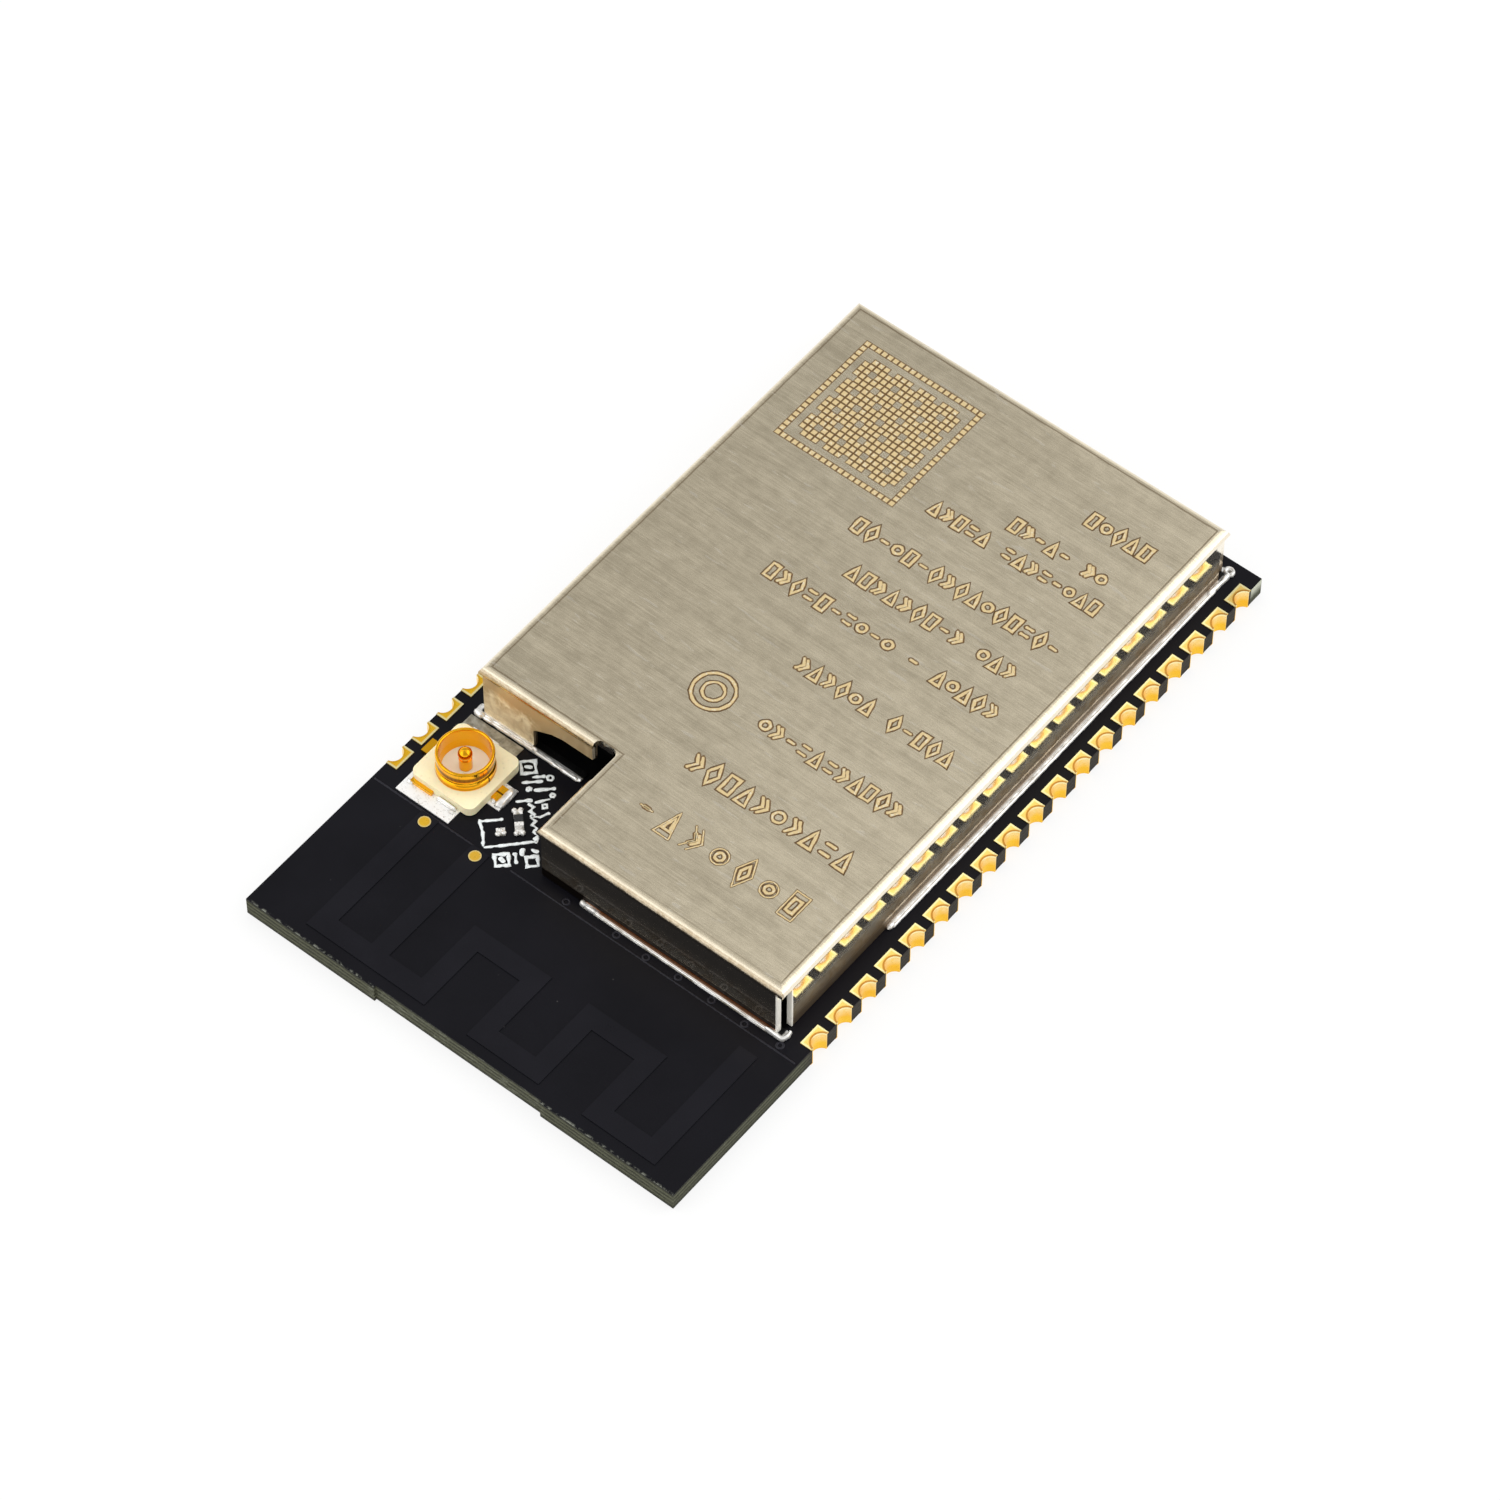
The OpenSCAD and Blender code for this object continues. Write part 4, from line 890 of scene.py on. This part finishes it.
class WIFI_OT_marks(bpy.types.Operator):
    """Generic laser marks on the shield: rows of plain shapes and a lattice"""
    bl_idname = "wifi.marks"
    bl_label = "Laser marks"

    def execute(self, context):
        s = context.scene.wifi_shield
        width, wobble, flat = s.stroke / MM, 0.2, 0.3
        right = SHIELD_HIGH.x - 1.35
        # place along the module, length of the row and height of its marks
        rows = ((12.5, 3.2, 0.8), (10.7, 4.6, 0.75), (9.6, 7.2, 0.75), (7.4, 9.0, 0.8), (5.75, 8.0, 0.8),
                (4.1, 10.2, 0.8), (1.7, 6.8, 0.8), (-1.0, 6.0, 0.8), (-3.6, 7.4, 1.0), (-6.0, 8.0, 1.5))
        common = ("box", "diamond", "ring", "triangle", "chevrons")
        kinds = (*common, *common, "bars", "dash")

        def laser(shape, points, width, closed, seed):
            stroke(shape, points, width, LASER_FOOT, LASER_CREST, closed, wobble, seed, flat)

        def rows_of_marks(shape):
            dice = random.Random(7)
            for n, (y, span, tall) in enumerate(rows):
                pitch = 0.68 * tall
                last = None
                for k in range(int(span / pitch)):
                    last = dice.choice([kind for kind in kinds if kind != last])
                    if dice.random() < 0.07:
                        continue
                    # the tallest marks are an outline of a thinner line round a smaller mark
                    for scale in (1.0, 0.5) if tall > 1 else (1.0,):
                        h, v = pitch * 0.31 * scale, tall * 0.45 * scale
                        paths, closed = glyph(last, right - pitch * (k + 0.5), y, h, v)
                        for path in paths:
                            laser(shape, path, width if v < 0.5 else width * 0.5, closed, n * 50 + k)
            laser(shape, ring_path(-1.3, -1.0, 0.75, 30), width, True, 3)
            laser(shape, ring_path(-1.3, -1.0, 0.38, 20), width * 0.9, True, 4)

        def lattice(shape):
            rim = shape.verts.layers.float.new("rim")
            n, side, x0, y0 = s.cells, 5.15, -6.6, 8.7
            cell = side / n
            turn = ((-1, -1), (1, -1), (1, 1), (-1, 1))
            half, top = cell * 0.50, cell * 0.30
            for i in range(n):
                for j in range(n):
                    edge = min(i, j, n - 1 - i, n - 1 - j)
                    bare = (i % 4 == 2) == (j % 4 == 2) and (i + j) % 2 == 0 and i % 2 == 0
                    if edge == 1 or (edge and bare):
                        continue
                    u, v = x0 + (i + 0.5) * cell, y0 + (j + 0.5) * cell
                    outer = [shape.verts.new((u + p * half, v + q * half, LASER_FOOT)) for p, q in turn]
                    inner = [shape.verts.new((u + p * top, v + q * top, LASER_CREST)) for p, q in turn]
                    for vert in outer:
                        vert[rim] = 0.8
                    for k in range(4):
                        m = (k + 1) % 4
                        shape.faces.new((outer[k], outer[m], inner[m], inner[k]))
                    shape.faces.new(inner)
                    shape.faces.new(list(reversed(outer)))

        finish = laser_finish(s)
        piece_from("laser_rows", rows_of_marks, finish)
        piece_from("laser_lattice", lattice, finish, smooth=False)
        return {"FINISHED"}


class WIFI_OT_socket(bpy.types.Operator):
    """Antenna socket: housing, contacts, lands and solder"""
    bl_idname = "wifi.socket"
    bl_label = "Antenna socket"

    def execute(self, context):
        s, p = context.scene.wifi_socket, context.scene.wifi_plating
        body_low, body_high = corners("connector_housing")
        middle = (body_low + body_high) / 2

        def floor_of_ring(f, base):
            # painted light: the housing's floor inside the ring is paled as if lit
            painted_light_in_ring = f.between(f.away(middle), 0.98, 0.90)
            painted_light_in_ring = painted_light_in_ring * f.between(f.axis("z"), body_high.z - 0.05, body_high.z - 0.01)
            return f.blend(painted_light_in_ring * 0.9, base, (1.0, 0.98, 0.86))

        cream = moulded("cream_moulding", s.housing, 0.42, 0.04, 0.004, 0.05, subsurface=0.15,
                        over=floor_of_ring)
        dress("connector_housing", cream)
        gold = contact_gold(s, *corners("connector_shell"))
        for node in ("connector_shell", "connector_pin"):
            dress(node, gold)
        back_y = middle.y + 0.6
        land_tin = tinned("socket_land_tin", p.tin, lambda f: f.between(f.axis("y"), back_y, back_y + 0.1))
        dress("connector_lands", land_tin)
        front, back, signal = loose_parts("connector_lands")
        tail = corners("connector_pin")[1].x
        z = front[1].z

        def solder(shape):
            low, high = signal
            middle_y, depth = (low.y + high.y) / 2, high.y - low.y - 0.06
            lump(shape, ((tail + high.x) / 2 - 0.05, middle_y, z), (0.32, depth), 0.20, 5, 6.0)
            lump(shape, (body_high.x + 0.13, low.y + 0.2, z), (0.2, 0.22), 0.1, 6, 2.5)
            start, end, y = front[0].x, front[1].x, body_low.y
            bead(shape, [(end - 0.92, y - 0.07), (end - 0.1, y - 0.08)], 0.15, 0.17, z, 7)
            bead(shape, [(end - 0.3, y - 0.22), (end - 0.08, y - 0.2)], 0.14, 0.1, z, 8)
            bead(shape, [(start + 0.08, y - 0.12), (start + 0.35, y - 0.1)], 0.2, 0.11, z, 9)
            y = body_high.y + 0.18
            bead(shape, [(back[0].x + 0.4, y), (back[1].x - 0.7, y)], 0.14, 0.09, z, 10)

        piece_from("socket_solder", solder, solder_finish(p))
        return {"FINISHED"}


class WIFI_OT_link(bpy.types.Operator):
    """Antenna link and the solder on its lands"""
    bl_idname = "wifi.link"
    bl_label = "Antenna link"

    def execute(self, context):
        s, p = context.scene.wifi_parts, context.scene.wifi_plating
        dress("link_resistor", moulded("link_glaze", s.resistor, 0.25, 0.02, 0.002, coat=0.3))
        tin = tinned("link_tin", p.tin, lambda f: f.between(f.cloud(0.25), 0.5, 0.62))
        for node in ("link_ends", "link_lands"):
            dress(node, tin)
        bare, far, near = [((low + high) / 2).xy for low, high in loose_parts("link_lands")]
        z = corners("link_lands")[1].z

        def solder(shape):
            away = (near - far).normalized()
            side = Vector((-away.y, away.x))
            for k, (at, push) in enumerate(((near, 0.15), (far, -0.15))):
                for across in (-0.11, 0.1):
                    spot = at + away * push + side * across
                    lump(shape, (*spot, z), (0.19, 0.19), 0.13, 20 + k * 2 + across, 2.4, sides=14)
                spot = at + away * push * 0.3
                lump(shape, (*spot, z), (0.28, 0.28), 0.10, 26 + k, 3.0, sides=14)
            for k, (u, v) in enumerate(((0.09, -0.10), (0.06, 0.09), (-0.03, 0.0))):
                spot = bare + away * u + side * v
                lump(shape, (*spot, z), (0.2, 0.18), 0.09, 31 + k, 2.4, sides=14)

        piece_from("link_solder", solder, solder_finish(p))
        return {"FINISHED"}


class WIFI_OT_print(bpy.types.Operator):
    """Printed outline and plain reference marks beside the socket"""
    bl_idname = "wifi.print"
    bl_label = "Printed marks"

    def execute(self, context):
        s = context.scene.wifi_print
        low, high = corners("link_resistor")
        middle = ((low + high) / 2).xy
        serrated = []
        for k in range(11):
            shift = 0.05 if k % 2 else -0.05
            serrated.append((-0.18 + k / 10 * 1.05 + shift, 0.83 - k / 10 * 0.95 + shift))

        def turned(u, v, r):
            return [(u, v - r), (u + r, v), (u, v + r), (u - r, v)]

        # seed, width in line widths, points from the link's middle
        lines = (
            # outline turned with the link, and its serrated side
            (1, 1.0, [(-1.08, -0.74), (-0.67, -1.03), (-0.33, -1.42)]),
            (2, 1.0, [(-1.03, -0.75), (-0.52, -0.24)]),
            (3, 1.0, [(-0.23, -1.44), (0.18, -1.01), (0.56, -0.60), (0.94, -0.20)]),
            (4, 1.2, [(-0.60, 0.63), (-0.27, 0.95)]),
            (5, 0.9, serrated),
            (6, 1.0, [(0.14, 0.46), (0.40, 0.61), (0.52, 0.92)]),
            (7, 1.1, [(-0.09, 0.99), (0.16, 1.35)]),
            (8, 1.5, [(0.86, -0.10), (0.93, -0.22)]),
            # plain bars
            (12, 1.2, [(-1.28, 1.88), (-1.14, 1.98)]),
            (13, 1.2, [(-0.93, 1.33), (-0.50, 1.76)]),
            (14, 1.2, [(-0.80, 1.72), (-0.56, 1.96)]),
            (17, 1.2, [(-0.42, 1.35), (0.02, 1.80)]),
            (20, 1.2, [(0.44, -1.46), (0.60, -1.50)]),
            (22, 1.2, [(0.70, -1.02), (0.96, -1.26)]),
            (23, 1.3, [(0.78, -0.74), (0.90, -0.90)]),
            (25, 1.1, [(1.05, -0.55), (1.22, -0.5)]),
        )
        loops = (
            (11, 1.2, turned(-1.20, 1.92, 0.34)),
            (15, 0.9, ring_path(-0.62, 1.25, 0.06, 12)),
            (16, 0.9, ring_path(-0.36, 2.04, 0.10, 12)),
            (18, 0.9, ring_path(0.16, 1.55, 0.07, 12)),
            (19, 0.9, turned(0.24, 1.05, 0.10)),
            (21, 1.25, turned(0.52, -1.48, 0.32)),
            (24, 1.25, turned(1.34, -0.90, 0.27)),
        )

        def marks(shape):
            for closed, table in ((False, lines), (True, loops)):
                for seed, widths, points in table:
                    stroke(shape, [(middle.x + u, middle.y + v) for u, v in points], s.line / MM * widths,
                           INK_FOOT, INK_CREST, closed, 0.4, seed)

        piece_from("printed_marks", marks, ink_finish(s))
        return {"FINISHED"}


class WIFI_OT_inner(bpy.types.Operator):
    """Parts under the shield"""
    bl_idname = "wifi.inner"
    bl_label = "Parts under the shield"

    def execute(self, context):
        s, p = context.scene.wifi_parts, context.scene.wifi_plating
        compound = moulded("moulding_compound", s.moulding, 0.55, 0.03, 0.004)
        for node in ("radio_chip", "flash_chip", "memory_chip"):
            dress(node, compound)
        tin = plated("part_tin", p.tin, 0.03, 0.26, 0.005)
        for node in ("radio_chip_contacts", "flash_leads", "memory_leads", "capacitor_ends",
                     "resistor_ends", "inductor_ends", "inner_lands"):
            dress(node, tin)
        dress("crystal_base", moulded("crystal_ceramic", s.quartz_base, 0.6, 0.02, 0.003))
        dress("crystal_lid", plated("crystal_lid_metal", (0.72, 0.70, 0.66), 0.06, 0.3, 0.003))
        dress("capacitor_bodies", moulded("capacitor_ceramic", s.capacitor, 0.45, 0.02, 0.003))
        dress("resistor_bodies", moulded("resistor_glaze", s.resistor, 0.28, 0.02, 0.002, coat=0.3))
        dress("inductor_bodies", moulded("inductor_ceramic", s.inductor, 0.5, 0.02, 0.003))
        return {"FINISHED"}


class WIFI_OT_stage(bpy.types.Operator):
    """Floor, light and camera"""
    bl_idname = "wifi.stage"
    bl_label = "Stage"

    def execute(self, context):
        scene = context.scene
        s = scene.wifi_stage
        scene.view_settings.view_transform = "Standard"
        shape = bmesh.new()
        bmesh.ops.create_grid(shape, x_segments=12, y_segments=12, size=s.floor_width / 2)
        mesh = bpy.data.meshes.new("floor")
        shape.to_mesh(mesh)
        shape.free()
        floor = bpy.data.objects.new("floor", mesh)
        floor.location.z = CAD_BOX[0][2] - 0.00002
        scene.collection.objects.link(floor)
        f = Finish("floor_paper")
        camera_ray, glossy_ray, through_ray = [f.node("ShaderNodeLightPath", output=f"Is {kind} Ray")
                                               for kind in ("Camera", "Glossy", "Transmission")]
        seen = camera_ray.most(glossy_ray).most(through_ray)
        paper = f.node("ShaderNodeBsdfDiffuse", None, {"Color": tuple(s.floor)})
        white = f.node("ShaderNodeEmission", None, {"Color": (1, 1, 1), "Strength": 1.0})
        f.node_out(f.node("ShaderNodeMixShader", None, {0: seen * 0.8, 1: paper, 2: white}))
        mesh.materials.append(f.material)
        floor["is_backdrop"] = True

        world = bpy.data.worlds.new("studio")
        world.use_nodes = True
        scene.world = world
        w = Finish("studio", world.node_tree)
        camera_ray = w.node("ShaderNodeLightPath", output="Is Camera Ray")
        glossy_ray = w.node("ShaderNodeLightPath", output="Is Glossy Ray")
        up = w.node("ShaderNodeSeparateXYZ", None, {0: w.node("ShaderNodeTexCoord", output="Generated")}, "Z")
        overhead = w.between(up, 0.12, 0.62, 1.08, 0.52)  # a card overhead, as the metal sees it
        strength = w.between(camera_ray, 0, 1, w.between(glossy_ray, 0, 1, s.light, overhead), 1.0)
        sky = w.node("ShaderNodeBackground", None, {"Color": (1, 1, 1), "Strength": strength})
        w.node_out(sky, "ShaderNodeOutputWorld")

        middle = Vector((0, 0, 0.002))
        for name, away, far, size, watts in (
            ("key_softbox", (0.62, 0.50, 0.50), 0.45, 0.50, 0.8),
            ("side_softbox", (-0.62, -0.35, 0.70), 0.45, 0.40, 0.30),
            ("front_softbox", (-0.34, -0.80, 0.45), 0.45, 0.36, 0.30),
            ("top_card", (0.02, 0.06, 0.20), 0.16, 0.13, 0.018),
        ):
            lamp = bpy.data.lights.new(name, "AREA")
            lamp.shape, lamp.size, lamp.energy = "SQUARE", size, watts
            box = bpy.data.objects.new(name, lamp)
            direction = Vector(away).normalized()
            box.location = middle + direction * far
            box.rotation_euler = direction.to_track_quat("Z", "Y").to_euler()
            box.visible_camera = False
            scene.collection.objects.link(box)

        view = bpy.data.cameras.new("camera")
        view.sensor_width, view.lens = 36.0, 153.61
        view.clip_start, view.clip_end = 0.005, 5.0
        camera = bpy.data.objects.new("camera", view)
        right = Vector((0.777745, 0.628578, 0.001538))
        down = Vector((0.512196, -0.632323, -0.581225))
        ahead = Vector((-0.364373, 0.452833, -0.813741))
        place = Vector((77.3238, -96.7886, 173.4701)) * MM
        camera.matrix_world = Matrix.Translation(place) @ Matrix((right, -down, -ahead)).transposed().to_4x4()
        scene.collection.objects.link(camera)
        scene.camera = camera
        return {"FINISHED"}


class WIFI_PT_panel(bpy.types.Panel):
    """Lists the module's pieces and their settings"""
    bl_label = "Wifi module"
    bl_idname = "WIFI_PT_panel"
    bl_space_type = "VIEW_3D"
    bl_region_type = "UI"
    bl_category = "Wifi module"

    def draw(self, context):
        for step in STEPS:
            self.layout.operator(step.bl_idname)
        for key, group in GROUPS.items():
            box = self.layout.box()
            box.label(text=group.__name__.replace("Settings", ""))
            for name in group.__annotations__:
                box.prop(getattr(context.scene, key), name)


STEPS = (WIFI_OT_stage, WIFI_OT_board, WIFI_OT_pads, WIFI_OT_shield, WIFI_OT_marks, WIFI_OT_socket,
         WIFI_OT_link, WIFI_OT_print, WIFI_OT_inner)


def register():
    for made in (*GROUPS.values(), *STEPS, WIFI_PT_panel):
        bpy.utils.register_class(made)
    for key, group in GROUPS.items():
        setattr(bpy.types.Scene, key, PointerProperty(type=group))


def unregister():
    for key in GROUPS:
        delattr(bpy.types.Scene, key)
    for made in reversed((*GROUPS.values(), *STEPS, WIFI_PT_panel)):
        bpy.utils.unregister_class(made)


def main():
    register()
    for step in STEPS:
        group, name = step.bl_idname.split(".")
        getattr(getattr(bpy.ops, group), name)()
    bpy.context.view_layer.update()
    plain = lambda box: [[float(v) for v in corner] for corner in box]
    {"cad_box": plain(CAD_BOX), "visual_box": plain(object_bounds())}


if __name__ == "__main__":
    main()
